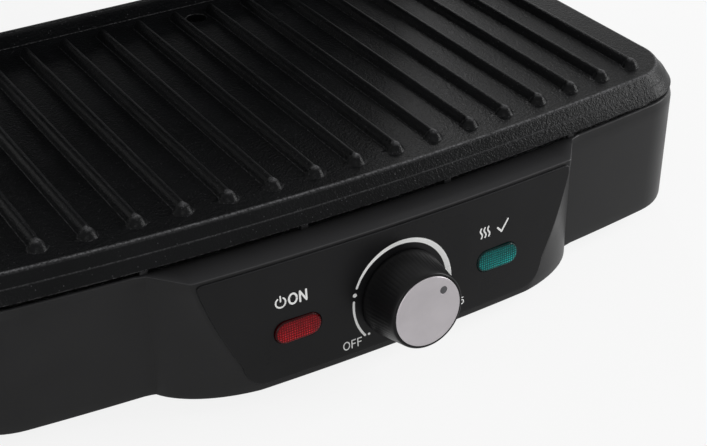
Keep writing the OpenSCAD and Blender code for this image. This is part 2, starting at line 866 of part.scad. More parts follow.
module thermostat_sensor() {
    bulb_z = floor_z - plate_t - seat_gap - 2.5;
    start_y = face_y(knob_z) + wall + thermostat_t + 1.5;
    color([0.72, 0.45, 0.2]) placed() {
        translate([-22, sensor_y, bulb_z]) rotate([0, 90, 0]) cylinder(r = 2.5, h = 44);
        wire([
            [0, start_y, knob_z + 8],
            [0, start_y + 12, knob_z + 8],
            [0, sensor_y, floor_z + dish_bottom - 6],
            [0, sensor_y, bulb_z]
        ], 1);
    }
}

// Wiring inside the base

terminal_pos = [gland_x + 4, body_d / 2 - 44, base_bottom + cover_t + seat_gap];
terminal_size = [20, 24, 12];

module terminal_block() {
    color([0.9, 0.88, 0.8]) placed() translate(terminal_pos) difference() {
        translate([-terminal_size.x / 2, -terminal_size.y / 2, 0]) cube(terminal_size);
        for (side = [-1, 1]) {
            translate([side * 5, 0, terminal_size.z - 4]) cylinder(r = 2.2, h = 5, $fn = 24);
            translate([side * 5, -20, 4]) rotate([-90, 0, 0]) cylinder(r = 1.6, h = 40, $fn = 24);
        }
    }
}

module thermal_fuse() {
    fuse_r = 2.6;
    color([0.85, 0.85, 0.8]) placed()
        translate([-cold_fuse_x - 12, 0, floor_z + dish_bottom - fuse_r - seat_gap])
            rotate([0, 90, 0]) cylinder(r = fuse_r, h = 24);
}

cold_fuse_x = 96;

module mains_wires() {
    z = base_bottom + cover_t + 6;
    color([0.25, 0.18, 0.14]) placed()
        for (side = [-1, 1])
            wire([
                terminal_pos + [side * 5, -terminal_size.y / 2 + 6, 4],
                terminal_pos + [side * 5, -terminal_size.y / 2 - 6, 4],
                terminal_pos + [side * 5, -terminal_size.y / 2 - 14, 8],
                [gland_x - 4 + side * 4, -40, z + 4],
                [side * 9, face_y(knob_z) + wall + thermostat_t + 14, knob_z - 6]
            ], 1.3);
}

module element_wires() {
    z = floor_z + dish_bottom - 13;
    color([0.85, 0.85, 0.82]) placed()
        for (side = [-1, 1])
            wire([
                [cold_x, side * element_bend_r, floor_z + cold_end_z - 6.2],
                [cold_x + 6, side * element_bend_r, z - 2],
                [-cold_fuse_x + side * 4, -30, z - 4],
                [side * 9 - 4, -66, z - 6]
            ], 1.3);
}

module cord_gland() {
    color([0.08, 0.08, 0.08]) placed()
        translate([gland_x, body_d / 2, gland_z]) rotate([-90, 0, 0]) difference() {
            union() {
                translate([0, 0, -wall - 7]) cylinder(r = gland_r, h = wall + 8);
                cylinder(r1 = gland_r + 2.6, r2 = gland_r + 1.6, h = 3);
                translate([0, 0, 2]) cylinder(r1 = gland_r + 0.6, r2 = gland_r - 1, h = 7);
            }
            translate([0, 0, -wall - 8]) cylinder(r = cord_bore_r, h = 30);
        }
}

module gland_nut() {
    color([0.1, 0.1, 0.1]) placed()
        translate([gland_x, body_d / 2 - wall - 4 - seat_gap, gland_z]) rotate([-90, 0, 0]) difference() {
            cylinder(r = gland_r + 3.4, h = 4, $fn = 6);
            translate([0, 0, -1]) cylinder(r = gland_r + pilot_gap, h = 6);
        }
}

// Hinge

post_pad_t = 5;
post_foot_h = 5;
post_pad_w = 30;
post_pad_low = base_bottom + 8;
post_pad_high = base_top - 4;
post_eye_r = pin_r + 6.5;
slot_gap = 0.2;
post_screws = [for (side = [-1, 1], x = [-9.5, 9.5], z = [post_pad_low + 7, base_shelf_bottom - screw_head_r - 2])
    [side * hinge_x + x, z]];

module hinge_post(side) {
    pad_y = body_d / 2;
    top_z = hinge_z + float_h;
    color([0.08, 0.08, 0.085]) placed()
        difference() {
            union() {
                translate([side * hinge_x - post_pad_w / 2, pad_y, post_pad_low])
                    cube([post_pad_w, post_pad_t, post_pad_high - post_pad_low]);
                translate([side * hinge_x - post_t / 2, 0, 0])
                    rotate([90, 0, 90])
                    linear_extrude(post_t) {
                        polygon([
                            [pad_y + 1, post_pad_low],
                            [hinge_y - foot_r + 2, base_bottom + 1],
                            [hinge_y + foot_r - 2, base_bottom + 1],
                            [hinge_y + post_eye_r, base_top],
                            [hinge_y + post_eye_r, top_z],
                            [hinge_y - post_eye_r, top_z],
                            [hinge_y - post_eye_r, base_top + 6],
                            [pad_y + post_pad_t, post_pad_high],
                            [pad_y + 1, post_pad_high]
                        ]);
                        translate([hinge_y, top_z]) circle(post_eye_r - 2.5);
                    }
                translate([side * hinge_x, hinge_y, base_bottom]) cylinder(r = foot_r, h = post_foot_h);
            }
            translate([side * hinge_x, hinge_y, base_bottom - 1])
                cylinder(r = foot_stem_r + seat_gap, h = post_foot_h + 3 + seat_gap);
            translate([side * hinge_x - post_t, hinge_y, hinge_z]) rotate([0, 90, 0])
                cylinder(r = pin_r + slot_gap, h = 2 * post_t);
            translate([side * hinge_x - post_t, hinge_y, top_z]) rotate([0, 90, 0])
                cylinder(r = pin_r + slot_gap, h = 2 * post_t);
            translate([side * hinge_x - post_t, hinge_y - pin_r - slot_gap, hinge_z])
                cube([2 * post_t, 2 * (pin_r + slot_gap), float_h]);
            for (p = post_screws)
                translate([p.x, pad_y - 1, p.y]) rotate([-90, 0, 0])
                    cylinder(r = screw_r + pilot_gap, h = post_pad_t, $fn = 24);
        }
}

module hinge_post_left() {
    hinge_post(-1);
}

module hinge_post_right() {
    hinge_post(1);
}

module hinge_post_screws() {
    color("silver") placed()
        for (p = post_screws)
            translate([p.x, body_d / 2 - wall, p.y]) rotate([-90, 0, 0]) screw(wall + 3.5);
}

// The pins slide in the posts' slots and the arms turn on them
arm_gap = 0.4;
arm_half = post_t / 2 + arm_gap + cheek_t;
pin_head_h = 1.6;
clip_t = 0.8;

module hinge_pin(side) {
    tail = arm_gap + clip_t + 1.2;
    color("silver") placed()
        translate([side * hinge_x, hinge_y, hinge_z]) rotate([0, side * 90, 0]) difference() {
            union() {
                translate([0, 0, -arm_half - tail]) cylinder(r = pin_r, h = 2 * arm_half + tail + arm_gap);
                translate([0, 0, arm_half + arm_gap]) cylinder(r = pin_r + 1.6, h = pin_head_h);
            }
            translate([0, 0, -arm_half - arm_gap - clip_t]) difference() {
                cylinder(r = pin_r + 1, h = clip_t);
                cylinder(r = pin_r - 0.5, h = clip_t);
            }
        }
}

module hinge_pin_left() {
    hinge_pin(-1);
}

module hinge_pin_right() {
    hinge_pin(1);
}

module hinge_pin_clips() {
    color("silver") placed()
        for (side = [-1, 1])
            translate([side * hinge_x, hinge_y, hinge_z])
                rotate([0, side * 90, 0])
                translate([0, 0, -arm_half - arm_gap - clip_t + 0.1])
                difference() {
                    cylinder(r = pin_r + 1.4, h = clip_t - 0.2);
                    translate([0, 0, -1]) cylinder(r = pin_r - 0.45, h = clip_t + 2);
                    translate([-pin_r + 0.9, 0, -1]) cube([2 * (pin_r - 0.9), 10, clip_t + 2]);
                }
}

arm_pad_t = 4;
arm_seat = 0.1;
arm_pad_w = 2 * arm_half;
arm_pad_low = lid_bottom + bevel_h + 1;
arm_pad_high = lid_bottom + 0.5 * lid_h;
arm_eye_r = pin_r + 4.5;
arm_screw_z = frame_z + shelf_t + screw_head_r + 2.5;
arm_screws = [for (side = [-1, 1], x = [-5.5, 5.5]) [side * hinge_x + x, arm_screw_z]];

// Y of the closed lid's back wall at height z: its outer and its inner face
function lid_back_y(z) = body_d / 2 - lookup(z - lid_bottom, dome_levels);
function lid_back_inner_y(z) =
    body_d / 2 - wall - lookup((z - lid_bottom) / (1 - wall / lid_h), dome_levels);

// Arm on the closed lid: a pad on the back wall and two cheeks that straddle the post
module hinge_arm(side) {
    pad_y = body_d / 2;
    color([0.08, 0.08, 0.085]) placed()
        on_lid() difference() {
            union() {
                translate([side * hinge_x - arm_pad_w / 2, 0, 0])
                    rotate([90, 0, 90])
                    linear_extrude(arm_pad_w) polygon([
                        [lid_back_y(arm_pad_low) + arm_seat, arm_pad_low],
                        [pad_y + arm_pad_t, arm_pad_low],
                        [pad_y + arm_pad_t, arm_pad_high],
                        [lid_back_y(arm_pad_high) + arm_seat, arm_pad_high]
                    ]);
                for (cheek = [-1, 1])
                    translate([side * hinge_x + cheek * (arm_half - cheek_t / 2) - cheek_t / 2, 0, 0])
                        rotate([90, 0, 90])
                        linear_extrude(cheek_t) {
                            polygon([
                                [pad_y + 1, arm_pad_low],
                                [hinge_y - arm_eye_r * 0.7, hinge_z - arm_eye_r * 0.7],
                                [hinge_y + arm_eye_r * 0.7, hinge_z + arm_eye_r * 0.7],
                                [pad_y + arm_pad_t + 4, arm_pad_high],
                                [pad_y + 1, arm_pad_high]
                            ]);
                            translate([hinge_y, hinge_z]) circle(arm_eye_r);
                        }
            }
            translate([side * hinge_x - arm_half - 1, hinge_y, hinge_z]) rotate([0, 90, 0])
                cylinder(r = pin_r + running_gap, h = 2 * arm_half + 2);
            for (p = arm_screws)
                translate([p.x, pad_y - 4, p.y]) rotate([-90, 0, 0])
                    cylinder(r = screw_r + pilot_gap, h = 4 + arm_pad_t - 1, $fn = 24);
        }
}

module hinge_arm_left() {
    hinge_arm(-1);
}

module hinge_arm_right() {
    hinge_arm(1);
}

module hinge_arm_screws() {
    color("silver") placed()
        on_lid() for (p = arm_screws)
            translate([p.x, lid_back_inner_y(p.y) - seat_gap, p.y]) rotate([-90, 0, 0]) screw(wall + 4);
}

// Lid

dome_levels = [
    [0, bevel_w], [bevel_h, 0], [0.52 * lid_h, 1.6], [0.74 * lid_h, 5.2],
    [0.87 * lid_h, 11], [0.95 * lid_h, 20], [0.99 * lid_h, 34], [lid_h, 56]
];
lid_boss_r = 4.5;
lid_bosses = [for (x = [-1, 1], y = [-1, 1]) [x * (body_w / 2 - 21), y * 26]];

module lid_housing() {
    color([0.09, 0.09, 0.095]) placed()
        on_lid() difference() {
            body_loft([for (level = dome_levels) [lid_bottom + level[0], level[1]]]);
            difference() {
                body_loft(concat(
                    [[lid_bottom - 1, wall + bevel_w]],
                    [for (level = dome_levels) [lid_bottom + level[0] * (1 - wall / lid_h), level[1] + wall]]
                ));
                for (p = lid_bosses)
                    translate([p.x, p.y, frame_z + shelf_t + seat_gap]) cylinder(r = lid_boss_r, h = lid_h);
            }
            for (p = lid_bosses)
                translate([p.x, p.y, frame_z]) cylinder(r = screw_r + pilot_gap, h = 13, $fn = 24);
            for (p = arm_screws)
                translate([p.x, body_d / 2 - 6, p.y]) rotate([-90, 0, 0])
                    cylinder(r = screw_r + seat_gap, h = 10);
            for (p = handle_holes)
                translate([p.x, -body_d / 2 - 3, p.y]) rotate([-90, 0, 0])
                    cylinder(r = screw_r + seat_gap, h = 12);
        }
}

// Ring that closes the lid's shell and carries the upper plate
module lid_frame() {
    rim = wall + 2.4;
    color([0.12, 0.12, 0.125]) placed()
        on_lid() difference() {
            body_slab(frame_z, shelf_t, rim);
            translate([-shelf_window_x, shelf_window_front, frame_z - 1])
                cube([2 * shelf_window_x, shelf_window_back - shelf_window_front, shelf_t + 2]);
            for (p = concat(plate_bosses, lid_bosses))
                translate([p.x, p.y, frame_z - 1]) cylinder(r = screw_r + seat_gap, h = shelf_t + 2);
        }
}

module lid_frame_screws() {
    color("silver") placed()
        on_lid() for (p = lid_bosses) translate([p.x, p.y, frame_z]) screw(shelf_t + 8);
}

module upper_plate() {
    color([0.12, 0.12, 0.13]) placed()
        on_lid() in_upper() grill_plate(splash = false, drained = false);
}

module upper_element() {
    color([0.45, 0.45, 0.44]) placed() on_lid() in_upper() heating_element();
}

module upper_reflector() {
    color("silver") placed() on_lid() in_upper()
        reflector([for (p = lid_bosses) [p.x, p.y, screw_head_r + 1]]);
}

module upper_plate_screws() {
    color("silver") placed() on_lid() in_upper() plate_screw_set();
}

// Handle, on the closed lid

handle_z = lid_bottom + 0.42 * lid_h;
bracket_x = grip_w / 2 - 14;
bracket_w = 20;
handle_holes = [for (side = [-1, 1]) [side * bracket_x, handle_z]];
grip_y = -body_d / 2 - grip_out;

module grip_section(grow = 0) {
    capsule(grip_d + 2 * grow, grip_h + 2 * grow);
}

module handle_grip() {
    color([0.06, 0.06, 0.06]) placed()
        on_lid() translate([-grip_w / 2, grip_y, handle_z]) {
            rotate([90, 0, 90]) linear_extrude(grip_w) grip_section();
            for (end = [0, grip_w])
                translate([end, 0, 0]) rotate([90, 0, 90])
                    translate([0, 0, -1.5]) linear_extrude(3) capsule(grip_d - 4, grip_h - 4);
        }
}

// Bracket from the lid's front wall to the grip
module handle_bracket(side) {
    root_y = front_y(bracket_x) - bow_relief;
    color([0.08, 0.08, 0.085]) placed()
        on_lid() difference() {
            translate([side * bracket_x - bracket_w / 2, 0, handle_z])
                rotate([90, 0, 90])
                linear_extrude(bracket_w)
                polygon([
                    [root_y, -grip_h / 2 - 2],
                    [root_y, grip_h / 2 + 2],
                    [grip_y + grip_d / 2 - 5, grip_h / 2 + 1.2],
                    [grip_y - grip_d / 2 + 8, grip_h / 2 + 1.2],
                    [grip_y - grip_d / 2 + 8, -grip_h / 2 - 1.2],
                    [grip_y + grip_d / 2 - 5, -grip_h / 2 - 1.2]
                ]);
            translate([side * bracket_x - bracket_w, grip_y, handle_z])
                rotate([90, 0, 90]) linear_extrude(2 * bracket_w) grip_section(grip_fit);
            translate([side * bracket_x, root_y - 12, handle_z])
                rotate([-90, 0, 0]) cylinder(r = screw_r + pilot_gap, h = 14, $fn = 24);
        }
}

grip_fit = 0.1;
// The bracket's flat root stands off the bowed wall by this at its middle
bow_relief = bow(bracket_x + bracket_w / 2) - bow(bracket_x - bracket_w / 2);

module handle_bracket_left() {
    handle_bracket(-1);
}

module handle_bracket_right() {
    handle_bracket(1);
}

module handle_screws() {
    color("silver") placed()
        on_lid() for (p = handle_holes)
            translate([p.x, front_y(p.x) + wall + 1.6, p.y]) rotate([90, 0, 0]) screw(wall + 9);
}

// Drip tray: slides out of the back

module drip_tray() {
    color([0.1, 0.1, 0.105]) placed()
        difference() {
            union() {
                translate([-tray_w / 2, tray_front_y, tray_floor_z]) cube([tray_w, tray_d + 1, tray_h]);
                translate([-tray_w / 2 - 4, body_d / 2 + seat_gap, tray_floor_z - 1])
                    cube([tray_w + 8, tray_face_t, tray_h + 4]);
                translate([-22, body_d / 2 + seat_gap, tray_floor_z + tray_h - 1]) cube([44, 12, 3]);
            }
            translate([-tray_w / 2 + tray_wall, tray_front_y + tray_wall, tray_floor_z + tray_wall])
                cube([tray_w - 2 * tray_wall, tray_d - 2 * tray_wall - 1, tray_h]);
        }
}

base_housing();
bottom_cover();
rubber_feet();
bottom_screws();
lower_plate();
lower_element();
lower_reflector();
lower_plate_screws();
control_panel();
power_lens();
ready_lens();
lamp_housings();
neon_lamps();
thermostat_body();
thermostat_nut();
thermostat_shaft();
thermostat_sensor();
knob_skirt();
knob_disc();
terminal_block();
thermal_fuse();
mains_wires();
element_wires();
cord_gland();
gland_nut();
hinge_post_left();
hinge_post_right();
hinge_post_screws();
hinge_pin_left();
hinge_pin_right();
hinge_pin_clips();
hinge_arm_left();
hinge_arm_right();
hinge_arm_screws();
lid_housing();
lid_frame();
lid_frame_screws();
upper_plate();
upper_element();
upper_reflector();
upper_plate_screws();
handle_grip();
handle_bracket_left();
handle_bracket_right();
handle_screws();
drip_tray();
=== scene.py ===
"""Looks of a countertop contact grill, built around its packed construction model.

The construction model is the fixed frame. The pieces that show most are replaced by finer meshes of the
same size, and every other solid keeps its mesh and gets the finish of its material. Shapes are drawn in
millimetres about the middle of the base, and become metres in the row frame when they are built.
"""

from __future__ import annotations

import json
import logging
import math
from dataclasses import dataclass, field
from enum import Enum
from typing import Iterable, Sequence

import bmesh
import bpy
import numpy as np
from mathutils import Matrix, Vector


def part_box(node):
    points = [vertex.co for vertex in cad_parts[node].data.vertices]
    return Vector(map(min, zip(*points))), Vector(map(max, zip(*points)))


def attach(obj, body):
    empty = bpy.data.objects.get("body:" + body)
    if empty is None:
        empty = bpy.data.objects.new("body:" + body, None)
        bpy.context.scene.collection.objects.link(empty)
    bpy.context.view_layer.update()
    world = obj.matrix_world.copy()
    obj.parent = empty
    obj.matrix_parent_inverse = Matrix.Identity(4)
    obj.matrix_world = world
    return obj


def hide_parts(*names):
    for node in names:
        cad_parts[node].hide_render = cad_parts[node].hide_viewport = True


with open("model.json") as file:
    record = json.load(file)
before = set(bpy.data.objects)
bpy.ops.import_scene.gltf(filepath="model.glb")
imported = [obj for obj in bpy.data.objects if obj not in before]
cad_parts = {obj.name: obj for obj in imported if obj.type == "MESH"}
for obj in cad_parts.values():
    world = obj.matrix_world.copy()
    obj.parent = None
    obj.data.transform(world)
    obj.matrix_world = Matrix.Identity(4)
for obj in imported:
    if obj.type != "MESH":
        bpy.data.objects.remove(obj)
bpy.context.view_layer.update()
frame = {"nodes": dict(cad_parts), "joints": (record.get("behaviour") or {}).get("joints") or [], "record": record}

LOG = logging.getLogger("grill")
MM = 0.001
SCREW_BORE = 1.55
LOWER_FLOOR = 66.3
UPPER_FLOOR = 73.6
# Point share that moulded finishes read as rubbed wear, and that the grill plates' finish reads as painted
# highlight and painted glint.
WEAR_AND_HIGHLIGHT = "wear"
SHADE = "shade"
Points = np.ndarray
Colour = tuple[float, float, float]
Line = tuple[tuple[float, float], ...]


def span(node: str) -> tuple[Points, Points]:
    """Gives a solid's box in the row frame."""
    low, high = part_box(node)
    return np.array(low) / MM, np.array(high) / MM


def joint(name: str) -> dict:
    """Returns the frame's joint of that name."""
    return next(j for j in frame["joints"] if j["name"] == name)


BODY_DEPTH = 185.0
BODY_WIDTH = 2 * span("base_housing")[1][0]
BASE_Y = span("base_housing")[1][1] - BODY_DEPTH / 2
TABLE_TO_BASE = span("bottom_cover")[0][2]
HINGE = np.array(joint("lid_hinge")["pos_m"]) / MM
OPEN_ANGLE = math.radians(joint("lid_hinge")["range_deg"][1])
KNOB = np.array(joint("knob_turn")["pos_m"]) / MM
OUTWARD = -np.array(joint("knob_turn")["axis"])

TO_ROW = Matrix.Translation((0.0, BASE_Y * MM, 0.0))
HINGE_PLACE = Matrix.Translation(Vector(HINGE * MM))
LID_OPEN = HINGE_PLACE @ Matrix.Rotation(-OPEN_ANGLE, 4, "X") @ HINGE_PLACE.inverted() @ TO_ROW


class Body(Enum):
    """Bodies of the frame that the new pieces ride on."""

    BASE = "base"
    LID = "lid"
    KNOB = "knob"


def smooth_path(points: Sequence[Sequence[float]], steps: int) -> Points:
    """Draws a smooth curve through points.

    Args:
        points: The points that the curve passes.
        steps: Samples between two neighbouring points.

    Returns:
        The curve's points, ends included.
    """
    p = np.array(points, float)
    p = np.vstack([2 * p[0] - p[1], p, 2 * p[-1] - p[-2]])
    t = np.arange(steps)[:, None] / steps
    parts = []
    for a, b, c, d in zip(p, p[1:], p[2:], p[3:]):
        square = 2 * a - 5 * b + 4 * c - d
        cube = 3 * b - a - 3 * c + d
        parts.append(0.5 * (2 * b + (c - a) * t + square * t**2 + cube * t**3))
    return np.vstack([*parts, p[-2]])


def rounded(points: Points, places: Points, reach: float) -> Points:
    """Resamples a line and rounds its corners.

    Args:
        points: Corners of the line.
        places: Lengths along the line where points are wanted.
        reach: Length over which a corner is rounded, to each side.

    Returns:
        One point for each place; the line's ends stay where they are.
    """
    length = np.concatenate([[0.0], np.cumsum(np.hypot(*np.diff(points, axis=0).T))])
    near = np.minimum(reach, np.minimum(places, length[-1] - places))
    nearby = places + np.linspace(-1, 1, 9)[:, None] * near
    return np.column_stack([np.interp(nearby, length, values).mean(axis=0) for values in points.T])


def circle(radius: float, steps: int, centre: Sequence[float] = (0.0, 0.0)) -> Points:
    """Returns the points of a circle, counterclockwise."""
    a = np.arange(steps) * 2 * math.pi / steps
    return np.column_stack([centre[0] + radius * np.cos(a), centre[1] + radius * np.sin(a)])


def capsule(width: float, height: float, steps: int = 20) -> Points:
    """Returns the outline of a bar with round ends, counterclockwise from its lower right.

    Args:
        width: Whole width.
        height: Whole height, twice the radius of the ends.
        steps: Points on each straight or round part.

    Returns:
        The ring, counterclockwise from its lower right.
    """
    r = height / 2
    reach = width / 2 - r
    right = np.linspace(-math.pi / 2, math.pi / 2, steps)
    top = np.linspace(reach, -reach, steps)[1:-1]
    half = np.vstack(
        [
            np.column_stack([reach + r * np.cos(right), r * np.sin(right)]),
            np.column_stack([top, np.full(len(top), r)]),
        ]
    )
    return np.vstack([half, -half])


def facing_back(outline: Points, y: float) -> Points:
    """Stands a flat outline upright, so that it faces along Y."""
    return np.column_stack([outline[:, 0], np.full(len(outline), y), outline[:, 1]])


def grid_faces(index: Points) -> list[list[int]]:
    """Joins the points of a grid to four-sided faces."""
    quads = [index[:-1, :-1], index[:-1, 1:], index[1:, 1:], index[1:, :-1]]
    return np.stack(quads, axis=-1).reshape(-1, 4).tolist()


def grid_rim(index: Points) -> Points:
    """Follows the edge of a grid once round."""
    return np.concatenate([index[0, :-1], index[:-1, -1], index[-1, :0:-1], index[:0:-1, 0]])


def at_height(outline: Points, z: float) -> Points:
    """Lifts a flat outline to a height."""
    return np.column_stack([outline, np.full(len(outline), z)])


class MeshMaker:
    """Gathers the points and faces of one piece, in millimetres."""

    def __init__(self) -> None:
        """Starts empty."""
        self.points: list[Points] = []
        self.faces: list[tuple[int, ...]] = []
        self.count = 0

    def add(self, points: Points, faces: Iterable[Sequence[int]]) -> None:
        """Adds points, and faces that count from the first of them.

        Args:
            points: New points.
            faces: Index tuples into these points.
        """
        self.points.append(np.asarray(points, float))
        self.faces += [tuple(self.count + i for i in face) for face in faces]
        self.count += len(points)

    def rings(self, rings: Sequence[Points], loop: bool = False) -> None:
        """Adds a skin through rings of equal count.

        Args:
            rings: The rings, in order.
            loop: True joins the last ring to the first; otherwise both ends are closed.
        """
        n = len(rings[0])
        faces: list[tuple[int, ...]] = []
        for k in range(len(rings) if loop else len(rings) - 1):
            a = k * n
            b = (k + 1) % len(rings) * n
            faces += [(a + i, a + (i + 1) % n, b + (i + 1) % n, b + i) for i in range(n)]
        if not loop:
            last = (len(rings) - 1) * n
            faces.append(tuple(range(n))[::-1])
            faces.append(tuple(last + i for i in range(n)))
        self.add(np.vstack(rings), faces)

    def lathe(
        self, profile: Sequence[Sequence[float]], steps: int, wave: float = 0.0, waves: int = 0
    ) -> None:
        """Turns a profile about the Z axis.

        Args:
            profile: Radius, height and share of the wave at each level.
            steps: Points round the axis.
            wave: Depth of the flutes.
            waves: Number of flutes.
        """
        a = np.arange(steps) * 2 * math.pi / steps
        rings = []
        for radius, height, share in profile:
            r = radius - wave * share * (0.5 + 0.5 * np.cos(waves * a)) ** 3
            rings.append(np.column_stack([r * np.cos(a), r * np.sin(a), np.full(steps, height)]))
        self.rings(rings)

    def tube(self, centre: Sequence[float], outer: float, inner: float, low: float, high: float) -> None:
        """Adds an upright tube about a centre, between two heights.

        Args:
            centre: Middle of the tube.
            outer: Outer radius.
            inner: Inner radius.
            low: Height of its lower end.
            high: Height of its upper end.
        """
        wide = circle(outer, 40, centre)
        narrow = circle(inner, 40, centre)
        walls = [at_height(wide, z) for z in (low, high)] + [at_height(narrow, z) for z in (high, low)]
        self.rings(walls, loop=True)

    def block(self, low: Sequence[float], high: Sequence[float], edge: float) -> None:
        """Adds a block with chamfered edges between two corners.

        Args:
            low: Lowest corner.
            high: Highest corner.
            edge: Size of the chamfers.
        """
        low, high = np.array(low, float), np.array(high, float)
        cut = min(edge, 0.49 * float((high - low).min()))

        def ring(z: float, inset: float) -> Points:
            """Returns the block's octagon at one height.

            Args:
                z: Height.
                inset: How far the octagon is drawn in.

            Returns:
                The octagon's points.
            """
            x0, y0 = low[:2] + inset
            x1, y1 = high[:2] - inset
            c = cut
            corners = [
                (x0 + c, y0), (x1 - c, y0), (x1, y0 + c), (x1, y1 - c),
                (x1 - c, y1), (x0 + c, y1), (x0, y1 - c), (x0, y0 + c),
            ]
            return at_height(np.array(corners), z)

        bottom, top = low[2], high[2]
        self.rings([ring(bottom, cut / 2), ring(bottom + cut, 0), ring(top - cut, 0), ring(top, cut / 2)])

    def moved(self, mapping: Matrix) -> "MeshMaker":
        """Turns and moves all points by a matrix in millimetres.

        Args:
            mapping: The matrix.

        Returns:
            This same maker.
        """
        turn = np.array(mapping.to_3x3())
        shift = np.array(mapping.translation)
        self.points = [p @ turn.T + shift for p in self.points]
        return self

    def build(self, name: str, place: Matrix, angle: float = 32.0) -> bpy.types.Object:
        """Makes the object.

        Args:
            name: Name of the piece.
            place: Where it stands, in metres.
            angle: Edges sharper than this many degrees stay crisp.

        Returns:
            The new object, at the origin, with its place in its mesh.
        """
        mesh = bpy.data.meshes.new(name)
        mesh.from_pydata((np.vstack(self.points) * MM).tolist(), [], self.faces)
        work = bmesh.new()
        work.from_mesh(mesh)
        bmesh.ops.recalc_face_normals(work, faces=work.faces)
        work.to_mesh(mesh)
        work.free()
        mesh.transform(place)
        piece = bpy.data.objects.new(name, mesh)
        bpy.context.scene.collection.objects.link(piece)
        soften(piece, angle)
        return piece


def mark(piece: bpy.types.Object, shares: Points, name: str = WEAR_AND_HIGHLIGHT) -> None:
    """Writes a share from 0 to 1 to each point of a piece, for its finish to read."""
    attribute = piece.data.attributes.new(name, "FLOAT", "POINT")
    attribute.data.foreach_set("value", shares)


def soften(piece: bpy.types.Object, angle: float) -> None:
    """Shades a piece smooth, but keeps edges sharper than angle degrees."""
    piece.data.shade_smooth()
    piece.data.set_sharp_from_angle(angle=math.radians(angle))


def cut(piece: bpy.types.Object, tools: MeshMaker, place: Matrix, angle: float = 32.0) -> None:
    """Cuts closed shapes out of a piece.

    Args:
        piece: The piece.
        tools: The shapes that are taken away, which don't touch each other.
        place: Where they stand, in metres.
        angle: Edges sharper than this many degrees stay crisp.
    """
    tool = tools.build("cutter", place)
    change = piece.modifiers.new("cut", "BOOLEAN")
    change.operation = "DIFFERENCE"
    change.solver = "EXACT"
    change.object = tool
    graph = bpy.context.evaluated_depsgraph_get()
    shaped = bpy.data.meshes.new_from_object(piece.evaluated_get(graph))
    piece.modifiers.clear()
    piece.data = shaped
    bpy.data.objects.remove(tool)
    soften(piece, angle)


@dataclass(frozen=True)
class BodyPlan:
    """Outline of the body seen from above: a bowed front and round corners."""

    width: float = BODY_WIDTH
    depth: float = BODY_DEPTH
    bow_radius: float = 1120.0
    corner_radius: float = 28.0
    least_corner: float = 3.0
    front_steps: int = 96
    corner_steps: int = 16
    back_steps: int = 48

    def bow(self, x: Points | float) -> Points | float:
        """Returns how far the front lies back at x."""
        return x * x / (2 * self.bow_radius)

    def front_y(self, x: Points | float, inset: float = 0.0) -> Points | float:
        """Returns the front edge's Y at x."""
        return -self.depth / 2 + inset + self.bow(x)

    def right_side(self, inset: float, radius: float) -> Points:
        """Draws the right corners and side.

        Args:
            inset: How far the outline is drawn in.
            radius: Radius of the corners.

        Returns:
            Points from the end of the bowed front to the start of the straight back.
        """
        half = self.width / 2 - inset
        centre_x = half - radius
        slope = math.atan(centre_x / self.bow_radius)
        end_x = centre_x + radius * math.sin(slope)
        centre_y = self.front_y(end_x, inset) + radius * math.cos(slope)
        near = np.linspace(slope - math.pi / 2, 0, self.corner_steps)
        far = np.linspace(0, math.pi / 2, self.corner_steps)
        back_y = self.depth / 2 - inset - radius
        return np.vstack(
            [
                np.column_stack([centre_x + radius * np.cos(near), centre_y + radius * np.sin(near)]),
                np.column_stack([centre_x + radius * np.cos(far), back_y + radius * np.sin(far)]),
            ]
        )

    def corner(self, inset: float) -> float:
        """Returns the corners' radius on an outline drawn in by inset."""
        return max(self.corner_radius - inset, self.least_corner)

    def closed(self, front: Points, right: Points) -> Points:
        """Joins a front, a right side, the back and the mirrored side to one ring.

        Args:
            front: Points along the front, left to right, without its ends.
            right: Points from the front's right end to the back's right end.

        Returns:
            The ring, counterclockwise.
        """
        back_x = np.linspace(right[-1, 0], -right[-1, 0], self.back_steps)[1:-1]
        back = np.column_stack([back_x, np.full(len(back_x), right[-1, 1])])
        left = right[::-1] * (-1, 1)
        return np.vstack([front, right, back, left])

    def outline(self, inset: float, radius: float | None = None) -> Points:
        """Draws the whole outline.

        Args:
            inset: How far it is drawn in.
            radius: Radius of the corners, or None for concentric ones.

        Returns:
            The ring, counterclockwise.
        """
        right = self.right_side(inset, self.corner(inset) if radius is None else radius)
        x = np.linspace(-right[0, 0], right[0, 0], self.front_steps)[1:-1]
        return self.closed(np.column_stack([x, self.front_y(x, inset)]), right)


PLAN = BodyPlan()


@dataclass(frozen=True)
class PanelFace:
    """The control box's front face: leaning, and bowed like the body."""

    lean: float = math.asin(OUTWARD[2])
    film_top: float = 0.9

    def point(self, x: Points | float, v: Points | float, out: Points | float) -> Points:
        """Places points on the face.

        Args:
            x: Distance to the right of the knob's centre.
            v: Distance up the face from the knob's centre.
            out: Height above the face.

        Returns:
            Points about the middle of the base.
        """
        x, v, out = np.broadcast_arrays(np.asarray(x, float), v, out)
        height = out - PLAN.bow(x)
        y = KNOB[1] - BASE_Y + v * math.sin(self.lean) - height * math.cos(self.lean)
        z = KNOB[2] + v * math.cos(self.lean) + height * math.sin(self.lean)
        return np.stack([x, y, z], axis=-1)

    def flat_matrix(self, x: float = 0.0) -> Matrix:
        """Returns the matrix in millimetres of a flat piece on the face, with +Z outwards."""
        origin = self.point(x, 0.0, 0.0)
        return Matrix.Translation(Vector(origin)) @ Matrix.Rotation(math.pi / 2 - self.lean, 4, "X")


FACE = PanelFace()


